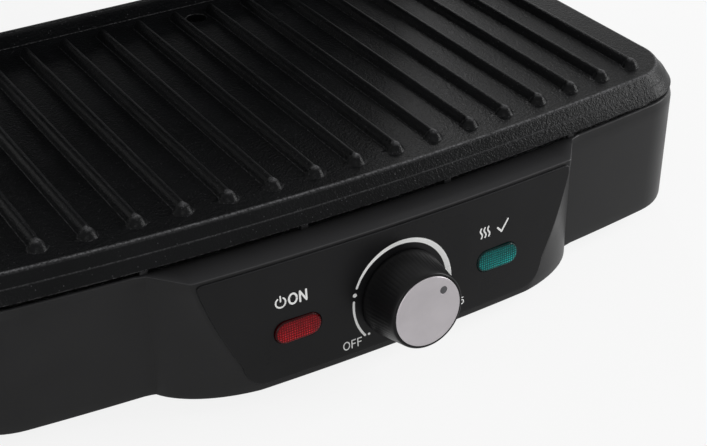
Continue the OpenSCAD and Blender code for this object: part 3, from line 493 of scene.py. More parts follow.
class Tree:
    """Adds nodes to a node tree and joins them."""

    def __init__(self, tree: bpy.types.NodeTree) -> None:
        """Keeps the tree and empties it."""
        self.tree = tree
        tree.nodes.clear()

    def add(self, kind: str, inputs: dict | None = None, **settings: object) -> bpy.types.Node:
        """Adds a node.

        Args:
            kind: Blender's name of the node type.
            inputs: Values or sockets for its inputs, by name or index.
            **settings: Properties of the node.

        Returns:
            The node.
        """
        node = self.tree.nodes.new(kind)
        for key, value in settings.items():
            setattr(node, key, value)
        for key, value in (inputs or {}).items():
            if isinstance(value, bpy.types.NodeSocket):
                self.tree.links.new(value, node.inputs[key])
            else:
                node.inputs[key].default_value = value
        return node

    def sum(self, operation: str, *values: object, clamp: bool = False) -> bpy.types.NodeSocket:
        """Adds a Math node and returns its result."""
        inputs = dict(enumerate(values))
        return self.add("ShaderNodeMath", inputs, operation=operation, use_clamp=clamp).outputs[0]

    def blend(self, share: object, first: object, second: object) -> bpy.types.NodeSocket:
        """Mixes two colours and returns the result.

        Args:
            share: Share of the second colour.
            first: First colour, or a socket.
            second: Second colour, or a socket.

        Returns:
            The mixed colour.
        """
        inputs = {"Factor": share, "A": first, "B": second}
        node = self.tree.nodes.new("ShaderNodeMix")
        node.data_type = "RGBA"
        sockets = {"Factor": node.inputs[0], "A": node.inputs[6], "B": node.inputs[7]}
        for name, value in inputs.items():
            if isinstance(value, bpy.types.NodeSocket):
                self.tree.links.new(value, sockets[name])
            elif name == "Factor":
                sockets[name].default_value = value
            else:
                sockets[name].default_value = (*value, 1.0)
        return node.outputs[2]

    def ranged(self, value: object, low: float, high: float) -> bpy.types.NodeSocket:
        """Maps a value from 0 to 1 to another range."""
        inputs = {"Value": value, "To Min": low, "To Max": high}
        return self.add("ShaderNodeMapRange", inputs).outputs["Result"]


class Effects:
    """Shader node groups that several finishes share."""

    def __init__(self) -> None:
        """Builds every group once."""
        self.grain = self.make_grain()
        self.patches = self.make_patches()
        self.edges = self.make_edges()
        self.flecks = self.make_flecks()
        self.turning = self.make_turning()

    @staticmethod
    def new_group(
        name: str, inputs: dict[str, object], outputs: dict[str, str]
    ) -> tuple[Tree, bpy.types.Node, bpy.types.Node]:
        """Makes an empty group.

        Args:
            name: Name of the group.
            inputs: Default of each input; a tuple makes a vector input.
            outputs: Kind of each output.

        Returns:
            The group's tree, its input node and its output node.
        """
        group = bpy.data.node_groups.new(name, "ShaderNodeTree")
        tree = Tree(group)
        for label, value in inputs.items():
            kind = "NodeSocketVector" if isinstance(value, tuple) else "NodeSocketFloat"
            socket = group.interface.new_socket(label, in_out="INPUT", socket_type=kind)
            socket.default_value = value
        for label, kind in outputs.items():
            group.interface.new_socket(label, in_out="OUTPUT", socket_type=kind)
        return tree, tree.add("NodeGroupInput"), tree.add("NodeGroupOutput")

    def make_grain(self) -> bpy.types.NodeTree:
        """Builds the fine relief of a moulded or sprayed surface.

        Returns:
            The group.
        """
        tree, given, result = self.new_group(
            "surface_grain", {"Position": (0.0, 0.0, 0.0), "Size": 0.4}, {"Height": "NodeSocketFloat"}
        )
        scale = tree.sum("DIVIDE", 1 / MM, given.outputs["Size"])
        where = given.outputs["Position"]
        fine = tree.add("ShaderNodeTexNoise", {"Vector": where, "Scale": scale, "Detail": 3.0})
        cells = tree.add(
            "ShaderNodeTexVoronoi",
            {"Vector": where, "Scale": scale, "Smoothness": 0.6},
            feature="SMOOTH_F1",
        )
        both = tree.sum("ADD", fine.outputs["Fac"], tree.sum("MULTIPLY", cells.outputs["Distance"], 0.6))
        tree.tree.links.new(both, result.inputs["Height"])
        return tree.tree

    def make_patches(self) -> bpy.types.NodeTree:
        """Builds the slow change over a surface that handling and moulding leave.

        Returns:
            The group.
        """
        tree, given, result = self.new_group(
            "soft_patches", {"Position": (0.0, 0.0, 0.0), "Size": 30.0}, {"Value": "NodeSocketFloat"}
        )
        scale = tree.sum("DIVIDE", 1 / MM, given.outputs["Size"])
        noise = tree.add(
            "ShaderNodeTexNoise",
            {
                "Vector": given.outputs["Position"],
                "Scale": scale,
                "Detail": 4.0,
                "Roughness": 0.6,
                "Distortion": 0.4,
            },
        )
        spread = tree.add(
            "ShaderNodeMapRange", {"Value": noise.outputs["Fac"], "From Min": 0.3, "From Max": 0.7}
        ).outputs["Result"]
        tree.tree.links.new(spread, result.inputs["Value"])
        return tree.tree

    def make_edges(self) -> bpy.types.NodeTree:
        """Builds softened edges and a broken mask along edges, which serves as rubbed wear and, on the grill
        plates, as painted highlight.

        Returns:
            The group.
        """
        tree, given, result = self.new_group(
            "edge_rub_and_highlight",
            {"Position": (0.0, 0.0, 0.0), "Radius": 0.5},
            {"Mask": "NodeSocketFloat", "Normal": "NodeSocketVector"},
        )
        radius = tree.sum("MULTIPLY", given.outputs["Radius"], MM)
        soft = tree.add("ShaderNodeBevel", {"Radius": radius}, samples=6)
        plain = tree.add("ShaderNodeNewGeometry")
        pair = {0: soft.outputs[0], 1: plain.outputs["Normal"]}
        close = tree.add("ShaderNodeVectorMath", pair, operation="DOT_PRODUCT")
        turn = tree.sum("MULTIPLY", tree.sum("SUBTRACT", 1.0, close.outputs["Value"]), 6.0, clamp=True)
        gap_size = 1.3
        gaps = {"Vector": given.outputs["Position"], "Scale": 1 / (gap_size * MM), "Detail": 3.0}
        noise = tree.add("ShaderNodeTexNoise", gaps).outputs["Fac"]
        broken = tree.add("ShaderNodeMapRange", {"Value": noise, "From Min": 0.42, "From Max": 0.58})
        tree.tree.links.new(tree.sum("MULTIPLY", turn, broken.outputs["Result"]), result.inputs["Mask"])
        tree.tree.links.new(soft.outputs[0], result.inputs["Normal"])
        return tree.tree

    def make_flecks(self) -> bpy.types.NodeTree:
        """Builds small scattered flecks.

        Returns:
            The group.
        """
        tree, given, result = self.new_group(
            "flecks", {"Position": (0.0, 0.0, 0.0), "Size": 1.5, "Share": 0.1}, {"Mask": "NodeSocketFloat"}
        )
        scale = tree.sum("DIVIDE", 1 / MM, given.outputs["Size"])
        cells = tree.add("ShaderNodeTexVoronoi", {"Vector": given.outputs["Position"], "Scale": scale})
        near = tree.add(
            "ShaderNodeMapRange",
            {"Value": cells.outputs["Distance"], "From Min": 0.28, "From Max": 0.12},
        ).outputs["Result"]
        pick = tree.add("ShaderNodeSeparateColor", {"Color": cells.outputs["Color"]}).outputs[0]
        chosen = tree.sum("LESS_THAN", pick, given.outputs["Share"])
        tree.tree.links.new(tree.sum("MULTIPLY", near, chosen), result.inputs["Mask"])
        return tree.tree

    def make_turning(self) -> bpy.types.NodeTree:
        """Builds the fine rings that turning leaves about an axis.

        Returns:
            The group.
        """
        tree, given, result = self.new_group(
            "turned_rings",
            {"Position": (0.0, 0.0, 0.0), "Centre": (0.0, 0.0, 0.0), "Size": 0.3},
            {"Height": "NodeSocketFloat"},
        )
        ends = {0: given.outputs["Position"], 1: given.outputs["Centre"]}
        arm = tree.add("ShaderNodeVectorMath", ends, operation="SUBTRACT").outputs[0]
        radius = tree.add("ShaderNodeVectorMath", {0: arm}, operation="LENGTH").outputs["Value"]
        scale = tree.sum("DIVIDE", 1 / MM, given.outputs["Size"])
        inputs = {"W": radius, "Scale": scale, "Detail": 2.0}
        rings = tree.add("ShaderNodeTexNoise", inputs, noise_dimensions="1D")
        tree.tree.links.new(rings.outputs["Fac"], result.inputs["Height"])
        return tree.tree


EFFECTS = Effects()


class Dressing:
    """One material with a Principled shader, and the shared effects placed in it."""

    def __init__(self, name: str) -> None:
        """Starts the material.

        Args:
            name: Name of the material.
        """
        self.material = bpy.data.materials.new(name)
        self.material.use_nodes = True
        self.tree = Tree(self.material.node_tree)
        self.shader = self.tree.add("ShaderNodeBsdfPrincipled")
        out = self.tree.add("ShaderNodeOutputMaterial")
        self.tree.tree.links.new(self.shader.outputs[0], out.inputs["Surface"])
        self.position = self.tree.add("ShaderNodeTexCoord").outputs["Object"]

    def effect(self, group: bpy.types.NodeTree, **inputs: object) -> bpy.types.Node:
        """Places a shared effect at the surface's own position.

        Args:
            group: The effect's node group.
            **inputs: Numbers for its inputs.

        Returns:
            The group's node in this material.
        """
        node = self.tree.tree.nodes.new("ShaderNodeGroup")
        node.node_tree = group
        self.tree.tree.links.new(self.position, node.inputs["Position"])
        for label, value in inputs.items():
            node.inputs[label].default_value = value
        return node

    def set(self, **values: object) -> None:
        """Sets the shader's sockets; underscores stand for spaces.

        Args:
            **values: Numbers, colours or sockets, by name of the shader's socket.
        """
        for label, value in values.items():
            socket = self.shader.inputs[label.replace("_", " ")]
            if isinstance(value, bpy.types.NodeSocket):
                self.tree.tree.links.new(value, socket)
            elif socket.type == "RGBA":
                socket.default_value = (*value, 1.0)
            else:
                socket.default_value = value

    def relief(
        self, height: bpy.types.NodeSocket, depth: float, normal: bpy.types.NodeSocket | None
    ) -> None:
        """Gives the shader a fine relief.

        Args:
            height: Height from 0 to 1.
            depth: Depth of the relief in millimetres.
            normal: Normal that it stands on, or None for the mesh's own.
        """
        inputs: dict = {"Height": height, "Distance": depth * MM, "Strength": 1.0}
        if normal is not None:
            inputs["Normal"] = normal
        self.set(Normal=self.tree.add("ShaderNodeBump", inputs).outputs[0])


def tint(colour: Colour, factor: float) -> Colour:
    """Returns a colour made lighter or darker."""
    return tuple(min(1.0, c * factor) for c in colour)


@dataclass(frozen=True)
class Moulded:
    """Plastic or rubber as it comes out of a mould."""

    name: str
    colour: Colour
    roughness: float = 0.42
    gloss: float = 0.5
    grain_size: float = 0.45
    grain_depth: float = 0.012
    edge_radius: float = 0.35
    rub: float = 0.25
    shaded: bool = False

    @property
    def worn_colour(self) -> Colour:
        """Returns the paler colour of a rubbed edge."""
        return tint(self.colour, 3.0 if max(self.colour) > 0.2 else 6.0)

    def build(self) -> bpy.types.Material:
        """Builds the material.

        Returns:
            The material.
        """
        made = Dressing(self.name)
        patches = made.effect(EFFECTS.patches, Size=34.0).outputs["Value"]
        edges = made.effect(EFFECTS.edges, Radius=self.edge_radius)
        grain = made.effect(EFFECTS.grain, Size=self.grain_size).outputs["Height"]
        toned = made.tree.blend(patches, tint(self.colour, 0.86), tint(self.colour, 1.14))
        wear_and_highlight_share = made.tree.add("ShaderNodeAttribute", attribute_name=WEAR_AND_HIGHLIGHT).outputs["Fac"]
        rubbed = made.tree.sum("MULTIPLY_ADD", edges.outputs["Mask"], self.rub, wear_and_highlight_share, clamp=True)
        made.set(
            Base_Color=made.tree.blend(rubbed, toned, self.worn_colour),
            Roughness=made.tree.ranged(patches, self.roughness - 0.05, self.roughness + 0.06),
            Specular_IOR_Level=self.gloss,
        )
        # Painted shade: faces marked with the shade attribute get a tenth of the gloss, so that they render
        # darker.
        if self.shaded:
            shade = made.tree.add("ShaderNodeAttribute", attribute_name=SHADE).outputs["Fac"]
            made.set(Specular_IOR_Level=made.tree.ranged(shade, self.gloss, self.gloss / 10))
        made.relief(grain, self.grain_depth, edges.outputs["Normal"])
        return made.material


@dataclass(frozen=True)
class NonStick:
    """Sandy non-stick coating on a cast plate with light flecks; its edges and the tops of the ribs' round ends
    carry painted highlights and glints, broken into specks.
    """

    name: str = "sandy_coating"
    colour: Colour = (0.0035, 0.0037, 0.0041)
    highlight_colour: Colour = (0.30, 0.30, 0.31)
    fleck_colour: Colour = (0.09, 0.09, 0.095)
    gloss: float = 0.042
    glint: float = 0.06

    def build(self) -> bpy.types.Material:
        """Builds the material.

        Returns:
            The material.
        """
        made = Dressing(self.name)
        patches = made.effect(EFFECTS.patches, Size=26.0).outputs["Value"]
        sand = made.effect(EFFECTS.grain, Size=0.7).outputs["Height"]
        crumbs = made.effect(EFFECTS.grain, Size=1.5).outputs["Height"]
        edges = made.effect(EFFECTS.edges, Radius=0.55)
        flecks = made.effect(EFFECTS.flecks, Size=0.9, Share=0.10).outputs["Mask"]
        wear_and_highlight_share = made.tree.add("ShaderNodeAttribute", attribute_name=WEAR_AND_HIGHLIGHT).outputs["Fac"]
        speckle_noise = made.effect(EFFECTS.patches, Size=0.9).outputs["Value"]
        toned = made.tree.blend(patches, tint(self.colour, 0.8), tint(self.colour, 1.25))
        flecked = made.tree.blend(made.tree.sum("MULTIPLY", flecks, 0.6), toned, self.fleck_colour)
        # Painted highlight along edges and painted glints on the rib ends: the marked share, broken into specks,
        # and the edge mask lighten the colour.
        glint_specks = made.tree.sum("MULTIPLY", wear_and_highlight_share, speckle_noise)
        painted_highlight = made.tree.sum("MULTIPLY_ADD", edges.outputs["Mask"], 0.3, glint_specks, clamp=True)
        made.set(
            Base_Color=made.tree.blend(painted_highlight, flecked, self.highlight_colour),
            Roughness=made.tree.ranged(patches, 0.30, 0.38),
            Specular_IOR_Level=self.gloss,
            Coat_Weight=self.glint,
            Coat_Roughness=0.2,
        )
        height = made.tree.sum("ADD", sand, made.tree.sum("MULTIPLY", crumbs, 0.8))
        made.relief(height, 0.12, edges.outputs["Normal"])
        made.set(Coat_Normal=made.shader.inputs["Normal"].links[0].from_socket)
        return made.material


@dataclass(frozen=True)
class Metal:
    """Plain metal with drawn marks, or rings where it is turned."""

    name: str
    colour: Colour
    roughness: float = 0.32
    mark_size: float = 0.5
    depth: float = 0.006
    turned_about: tuple[float, float, float] | None = None

    def build(self) -> bpy.types.Material:
        """Builds the material.

        Returns:
            The material.
        """
        made = Dressing(self.name)
        patches = made.effect(EFFECTS.patches, Size=14.0).outputs["Value"]
        edges = made.effect(EFFECTS.edges, Radius=0.25)
        if self.turned_about is None:
            marks = made.effect(EFFECTS.grain, Size=self.mark_size).outputs["Height"]
        else:
            rings = made.effect(EFFECTS.turning, Centre=self.turned_about, Size=self.mark_size)
            marks = rings.outputs["Height"]
        made.set(
            Base_Color=made.tree.blend(patches, tint(self.colour, 0.88), self.colour),
            Roughness=made.tree.ranged(patches, self.roughness - 0.05, self.roughness + 0.08),
            Metallic=1.0,
        )
        made.relief(marks, self.depth, edges.outputs["Normal"])
        return made.material


@dataclass(frozen=True)
class Lens:
    """Clear tinted lens over a grid that spreads a lamp's light; the grid is painted brighter towards the bottom
    as painted light, and the curved rim is painted darker as painted shade.
    """

    name: str
    deep: Colour
    bright: Colour
    pitch: float = 0.95
    fade: float = 2.5

    def build(self) -> bpy.types.Material:
        """Builds the material.

        Returns:
            The material.
        """
        made = Dressing(self.name)
        tree = made.tree
        parts = tree.add("ShaderNodeSeparateXYZ", {0: made.position})
        turns = 2 * math.pi / (self.pitch * MM)
        across = tree.sum("SINE", tree.sum("MULTIPLY", parts.outputs["X"], turns))
        upward = tree.sum("SINE", tree.sum("MULTIPLY", parts.outputs["Z"], turns))
        grid = tree.sum("MULTIPLY", tree.sum("ADD", across, 1.0), tree.sum("ADD", upward, 1.0))
        dots = tree.sum("MULTIPLY", grid, 0.25, clamp=True)
        patches = made.effect(EFFECTS.patches, Size=5.0).outputs["Value"]
        # Painted light: the grid's lighter colour grows towards the bottom of the lens.
        top, bottom = (KNOB[2] + self.fade) * MM, (KNOB[2] - self.fade) * MM
        heights = {"Value": parts.outputs["Z"], "From Min": top, "From Max": bottom}
        low = tree.add("ShaderNodeMapRange", heights).outputs["Result"]
        lit = tree.sum("MULTIPLY", tree.ranged(patches, 0.4, 1.0), tree.ranged(low, 0.35, 1.0))
        # Painted shade: where the dome turns away from the face, the colour goes to a darkened deep tint.
        facing = tree.add(
            "ShaderNodeVectorMath",
            {0: tree.add("ShaderNodeNewGeometry").outputs["Normal"], 1: tuple(OUTWARD)},
            operation="DOT_PRODUCT",
        ).outputs["Value"]
        limits = {"Value": facing, "From Min": 0.9, "From Max": 0.995}
        flat = tree.add("ShaderNodeMapRange", limits).outputs["Result"]
        share = tree.sum("MULTIPLY", tree.sum("MULTIPLY", dots, lit), flat, clamp=True)
        made.set(
            Base_Color=tree.blend(flat, tint(self.deep, 0.25), tree.blend(share, self.deep, self.bright)),
            Roughness=tree.ranged(patches, 0.1, 0.2),
            Specular_IOR_Level=0.08,
            Coat_Weight=0.06,
            Coat_Roughness=0.04,
            Subsurface_Weight=0.25,
            Subsurface_Radius=(0.5, 0.5, 0.5),
            Subsurface_Scale=0.002,
        )
        made.relief(dots, 0.08, None)
        return made.material


@dataclass(frozen=True)
class Glass:
    """Thin clear glass of a small lamp."""

    name: str
    colour: Colour

    def build(self) -> bpy.types.Material:
        """Builds the material.

        Returns:
            The material.
        """
        made = Dressing(self.name)
        patches = made.effect(EFFECTS.patches, Size=4.0).outputs["Value"]
        made.set(
            Base_Color=made.tree.blend(patches, self.colour, tint(self.colour, 0.9)),
            Roughness=made.tree.ranged(patches, 0.03, 0.1),
            Transmission_Weight=0.85,
            IOR=1.45,
        )
        return made.material


@dataclass(frozen=True)
class Sleeve:
    """Braided sleeve of a heat-proof wire."""

    name: str
    colour: Colour
    strand: float = 1.2

    def build(self) -> bpy.types.Material:
        """Builds the material.

        Returns:
            The material.
        """
        made = Dressing(self.name)
        weave = {"Vector": made.position, "Scale": 1 / (self.strand * MM), "Distortion": 1.5}
        strands = made.tree.add("ShaderNodeTexWave", weave, bands_direction="DIAGONAL").outputs["Fac"]
        made.set(Base_Color=made.tree.blend(strands, tint(self.colour, 0.7), self.colour), Roughness=0.75)
        made.relief(strands, 0.08, None)
        return made.material


SPUN_CENTRE = tuple(float(c) * MM for c in KNOB)
FINISHES = {
    "housing_plastic": Moulded("satin_housing", (0.012, 0.012, 0.0125), 0.38, 0.16, shaded=True),
    "inner_plastic": Moulded("matt_inner_plastic", (0.020, 0.020, 0.021), 0.55, 0.25),
    "nonstick": NonStick(),
    "panel_black": Moulded("smooth_panel", (0.0065, 0.0065, 0.007), 0.30, 0.13, 0.5, 0.003, 0.2, 0.1),
    "knob_black": Moulded("knob_plastic", (0.0035, 0.0035, 0.0038), 0.36, 0.14, 0.4, 0.006, 0.3, 0.3),
    "disc_metal": Metal("spun_disc", (0.46, 0.435, 0.452), 0.34, 0.22, 0.004, SPUN_CENTRE),
    "lens_red": Lens("red_lens", (0.12, 0.001, 0.003), (1.0, 0.02, 0.035)),
    "lens_green": Lens("green_lens", (0.001, 0.06, 0.057), (0.01, 0.62, 0.58)),
    "steel": Metal("zinc_steel", (0.60, 0.60, 0.60), 0.34, 0.6, 0.01),
    "sheet_metal": Metal("rolled_sheet", (0.72, 0.72, 0.73), 0.38, 1.2, 0.01),
    "element_steel": Metal("heat_stained_steel", (0.26, 0.24, 0.22), 0.48, 0.8, 0.02),
    "rubber": Moulded("black_rubber", (0.018, 0.018, 0.018), 0.72, 0.3, 0.6, 0.03, 0.4, 0.15),
    "pale_plastic": Moulded("pale_plastic", (0.72, 0.70, 0.62), 0.4, 0.5, 0.8, 0.01, 0.3, 0.0),
    "lamp_glass": Glass("lamp_glass", (0.95, 0.9, 0.85)),
    "copper": Metal("copper", (0.78, 0.42, 0.28), 0.3, 0.5, 0.008),
    "wire_sleeve": Sleeve("glass_sleeve", (0.62, 0.60, 0.54)),
}
EXTRA_FINISHES = {
    "white_print": Moulded("white_print", (0.86, 0.86, 0.85), 0.5, 0.4, 0.5, 0.004, 0.1, 0.0),
    "marker_ink": Moulded("marker_ink", (0.06, 0.06, 0.065), 0.5, 0.4, 0.5, 0.004, 0.1, 0.0),
}


class Wardrobe:
    """Materials of the object, each made when it is first wanted."""

    def __init__(self) -> None:
        """Starts with no material."""
        self.made: dict[str, bpy.types.Material] = {}

    def get(self, name: str) -> bpy.types.Material:
        """Returns the material of a slot or of an extra finish.

        Args:
            name: Name of the slot or the finish.

        Returns:
            The material.
        """
        if name not in self.made:
            self.made[name] = {**FINISHES, **EXTRA_FINISHES}[name].build()
        return self.made[name]

    def dress(self, piece: bpy.types.Object, name: str) -> None:
        """Gives a piece one material in place of any that it has."""
        piece.data.materials.clear()
        piece.data.materials.append(self.get(name))


WARDROBE = Wardrobe()


def install(
    piece: bpy.types.Object, body: Body, slot: str, nodes: Sequence[str] = (), finish: str | None = None
) -> bpy.types.Object:
    """Dresses a new piece and fixes it to the frame.

    Args:
        piece: The piece, in place.
        body: Body that it rides on.
        slot: The record's material slot.
        nodes: Solids that it stands for.
        finish: Extra finish, where it isn't the slot's own.

    Returns:
        The piece.
    """
    WARDROBE.dress(piece, finish or slot)
    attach(piece, body.value)
    if nodes:
        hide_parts(*nodes)
    LOG.info("%s: %d faces, on %s", piece.name, len(piece.data.polygons), body.value)
    return piece


@dataclass(frozen=True)
class BaseShell:
    """Housing of the base with its control box."""

    wall: float = 2.6
    height: float = 49.3
    bevel_width: float = 0.8
    bevel_height: float = 3.1
    face_top: float = 79.8
    face_bottom: float = 58.0
    root_half: float = 90.0
    stand_out: float = 11.7
    side_curve: float = 0.44
    root_bulge: float = 0.6
    corner_reach: float = 0.9
    shelf_top: float = 46.0
    shelf_thickness: float = 2.4
    window_half: float = 134.0
    window_front: float = -72.0
    window_back: float = 76.0
    tray_bay_half: float = 55.6
    tray_bay_drop: float = 2.4
    gland_hole: float = 7.3
    screw_hole: float = 1.8
    post_x: float = 105.0
    post_screw_x: float = 9.5
    post_screw_z: tuple[float, float] = (21.5, 38.6)
    plate_screw: tuple[float, float] = (141.0, 62.0)
    side_boss: tuple[float, float] = (148.0, 25.0)
    front_boss: tuple[float, float] = (66.0, -77.0)
    boss_radius: float = 4.5
    boss_foot: float = 2.7
    boss_drop: float = 1.2
    rest_x: tuple[float, ...] = (-90.1, -30.26, 30.26, 90.1)
    rest_height: float = 1.6
    rest_half: tuple[float, float] = (1.5, 0.65)
    rest_inset: float = 1.7
    rest_round: float = 0.3
    lamp_hole: tuple[float, float] = (19.2, 9.4)
    shaft_hole: float = 5.3
    tray_bay_sill: float = 0.4
    tray_bay_round: float = 0.5
    foot_line: Line = ((0.0, 1.0), (0.15, 0.45), (0.5, 0.12), (1.1, 0.0))
    bevel_shares: tuple[float, ...] = (0.06, 0.5, 0.92)
    bevel_box: float = 0.2
    outer_edge: Line = ((0.12, 0.12), (0.03, 0.3), (0.0, 0.55))
    inner_edge: Line = ((0.0, 0.4), (0.1, 0.1), (0.4, 0.0))
    shelf_round: float = 0.4
    foot_round: float = 0.3
    cavity: tuple[float, float] = (3.2, 5.2)
    wall_rings: int = 14
    cavity_rings: int = 9
    edge_wear: float = 0.45
    face_steps: int = 84
    side_steps: int = 28
    beside_steps: int = 10
    outer_rings: int = 23
    crisp_angle: float = 19.0

    @property
    def top(self) -> float:
        """Height of the wall's top above the table."""
        return TABLE_TO_BASE + self.height

    def box_line(self, z: float, inset: float, root_in: float, root_back: float) -> Points:
        """Draws the control box's front.

        Args:
            z: Height above the table.
            inset: How far the line is drawn in.
            root_in: How far its ends lie nearer to the middle.
            root_back: How far its ends lie behind the body's front.

        Returns:
            Points from the left root to the right one.
        """
        t = (self.top - z) / self.height
        narrowing = (1 - self.side_curve) * t + self.side_curve * t * t
        corner_x = self.face_top - (self.face_top - self.face_bottom) * narrowing - 0.8 * inset
        lean = math.tan(FACE.lean)
        face_y = -PLAN.depth / 2 - self.stand_out - (self.top - z) * lean + inset
        corner = np.array([corner_x, face_y + PLAN.bow(corner_x)])
        root = np.array([self.root_half - root_in, PLAN.front_y(self.root_half) + root_back])
        bulge = self.root_bulge * min(t, 1)
        s = np.linspace(0, 1, 60)[1:, None]
        flat = corner + s * (root - corner)
        arc = np.hstack(
            [
                corner[0] + (root[0] - corner[0]) * np.sin(s * math.pi / 2),
                root[1] + (corner[1] - root[1]) * np.cos(s * math.pi / 2),
            ]
        )
        side = flat * (1 - bulge) + arc * bulge
        x = np.linspace(-corner_x, corner_x, 60)
        face = np.column_stack([x, face_y + PLAN.bow(x)])
        line = np.vstack([side[::-1] * (-1, 1), face, side])
        length = np.concatenate([[0.0], np.cumsum(np.hypot(*np.diff(line, axis=0).T))])
        left, right = length[len(side)], length[len(side) + len(face) - 1]
        ease = np.linspace(0, math.pi / 2, self.side_steps)
        middle = np.linspace(0, math.pi, self.face_steps)
        places = np.concatenate(
            [
                left * np.sin(ease),
                left + (right - left) * (1 - np.cos(middle[1:-1])) / 2,
                right + (length[-1] - right) * (1 - np.cos(ease)),
            ]
        )
        return rounded(line, places, self.corner_reach)

    def ring(
        self, z: float, inset: float, box_inset: float, root: tuple[float, float] = (0.0, 0.0)
    ) -> Points:
        """Returns one level of the housing with its control box."""
        return at_height(self.around(self.box_line(z, box_inset, *root), inset), z)

    def around(self, front: Points, inset: float) -> Points:
        """Draws the body round a given middle part of its front.

        Args:
            front: Points from the box's left root to its right one.
            inset: How far the body's outline is drawn in.

        Returns:
            The ring.
        """
        right = PLAN.right_side(inset, PLAN.corner(inset))
        x = np.linspace(front[-1, 0], right[0, 0], self.beside_steps + 2)[1:-1]
        beside = np.column_stack([x, PLAN.front_y(x, inset)])
        return PLAN.closed(np.vstack([beside[::-1] * (-1, 1), front, beside]), right)

    def inner_ring(self, z: float, inset: float) -> Points:
        """Returns a level of the wall's inside, where the front has no box."""
        x = self.box_line(self.top, 0.0, 0.0, 0.0)[:, 0]
        return at_height(self.around(np.column_stack([x, PLAN.front_y(x, inset)]), inset), z)

    def window_ring(self, z: float) -> Points:
        """Returns the edge of the shelf's window.

        Args:
            z: Height above the table.

        Returns:
            The ring, with as many points as the others.
        """
        ring = self.inner_ring(z, self.wall)
        middle = (self.window_front + self.window_back) / 2
        reach = (self.window_back - self.window_front) / 2
        x, y = ring[:, 0], ring[:, 1] - middle
        share = 1 / np.maximum(np.abs(x) / self.window_half, np.abs(y) / reach)
        return np.column_stack([x * share, y * share + middle, ring[:, 2]])

    def levels(self) -> list[Points]:
        """Returns every ring, up the outside, over the edge, round the shelf and down the inside.

        Returns:
            The rings, of which the last joins the first.
        """
        low, top = TABLE_TO_BASE, self.top
        bevel_z = top - self.bevel_height
        rings = [self.ring(low + z, inset, inset) for z, inset in self.foot_line]
        upright = np.linspace(low + self.foot_line[-1][0], bevel_z, self.wall_rings)
        rings += [self.ring(z, 0.0, 0.0) for z in upright[1:]]
        for share in self.bevel_shares:
            z = bevel_z + share * self.bevel_height
            rings.append(self.ring(z, share * self.bevel_width, self.bevel_box * share))
        for drop, grow in self.outer_edge:
            rings.append(self.ring(top - drop, self.bevel_width + grow, self.bevel_box + grow))
        for drop, grow in self.inner_edge:
            rings.append(self.inner_ring(top - drop, self.wall - grow))
        shelf, under = self.shelf_top, self.shelf_top - self.shelf_thickness
        rings.append(self.inner_ring(shelf + self.shelf_round, self.wall))
        rings.append(self.inner_ring(shelf, self.wall + self.shelf_round))
        rings += [self.window_ring(shelf), self.window_ring(under)]
        inside = np.linspace(under, low + self.foot_round, self.cavity_rings)
        rings += [self.ring(z, self.wall, self.wall, self.cavity) for z in inside]
        mouth = self.wall - self.foot_round
        rings.append(self.ring(low, mouth, mouth, self.cavity))
        return rings

    def openings(self) -> MeshMaker:
        """Returns the shapes of the holes in the walls and the shelf.

        Returns:
            The shapes.
        """
        tools = MeshMaker()
        for side in (-1, 1):
            self.through_face(tools, capsule(*self.lamp_hole), side * ControlPanel.lamp_x)
        self.through_face(tools, circle(self.shaft_hole, 40), 0.0)
        back = PLAN.depth / 2
        tray_low, tray_high = span("drip_tray")
        low = (-self.tray_bay_half, back - 5, tray_low[2] + self.tray_bay_sill)
        high = (self.tray_bay_half, back + 5, tray_high[2] - self.tray_bay_drop)
        tools.block(low, high, self.tray_bay_round)
        gland_low, gland_high = span("cord_gland")
        gland_z = (gland_low[2] + gland_high[2]) / 2
        self.through_back(tools, ((gland_low[0] + gland_high[0]) / 2, gland_z), self.gland_hole)
        for post in (-self.post_x, self.post_x):
            for aside in (-self.post_screw_x, self.post_screw_x):
                for z in self.post_screw_z:
                    self.through_back(tools, (post + aside, z), self.screw_hole)
        plate_x, plate_y = self.plate_screw
        for x in (-plate_x, plate_x):
            for y in (-plate_y, plate_y):
                hole = circle(self.screw_hole, 20, (x, y))
                tools.rings([at_height(hole, self.shelf_top - 3.4), at_height(hole, self.shelf_top + 1)])
        return tools

    @staticmethod
    def through_face(tools: MeshMaker, outline: Points, x: float) -> None:
        """Adds a prism that passes the box's front wall at x.

        Args:
            tools: Where the prism is added.
            outline: Its outline.
            x: Where its middle is, to the right of the knob's.
        """
        hole = MeshMaker()
        hole.rings([at_height(outline, -10), at_height(outline, 5)])
        hole.moved(FACE.flat_matrix(x))
        tools.add(hole.points[0], hole.faces)

    @staticmethod
    def through_back(tools: MeshMaker, centre: tuple[float, float], radius: float) -> None:
        """Adds a cylinder that passes the back wall at x and z.

        Args:
            tools: Where the cylinder is added.
            centre: Its place across and up.
            radius: Its radius.
        """
        ring = circle(radius, 36, centre)
        back = PLAN.depth / 2
        tools.rings([facing_back(ring, back + y) for y in (-5.0, 5.0)])

    def build(self) -> None:
        """Builds the housing and its small rests for the plate."""
        maker = MeshMaker()
        maker.rings(self.levels(), loop=True)
        shell = maker.build("base_shell", TO_ROW, self.crisp_angle)
        height = maker.points[0][:, 2]
        outer = np.arange(len(height)) < self.outer_rings * len(self.window_ring(0.0))
        mark(shell, np.where(outer & (height > self.top - 0.2), self.edge_wear, 0.0))
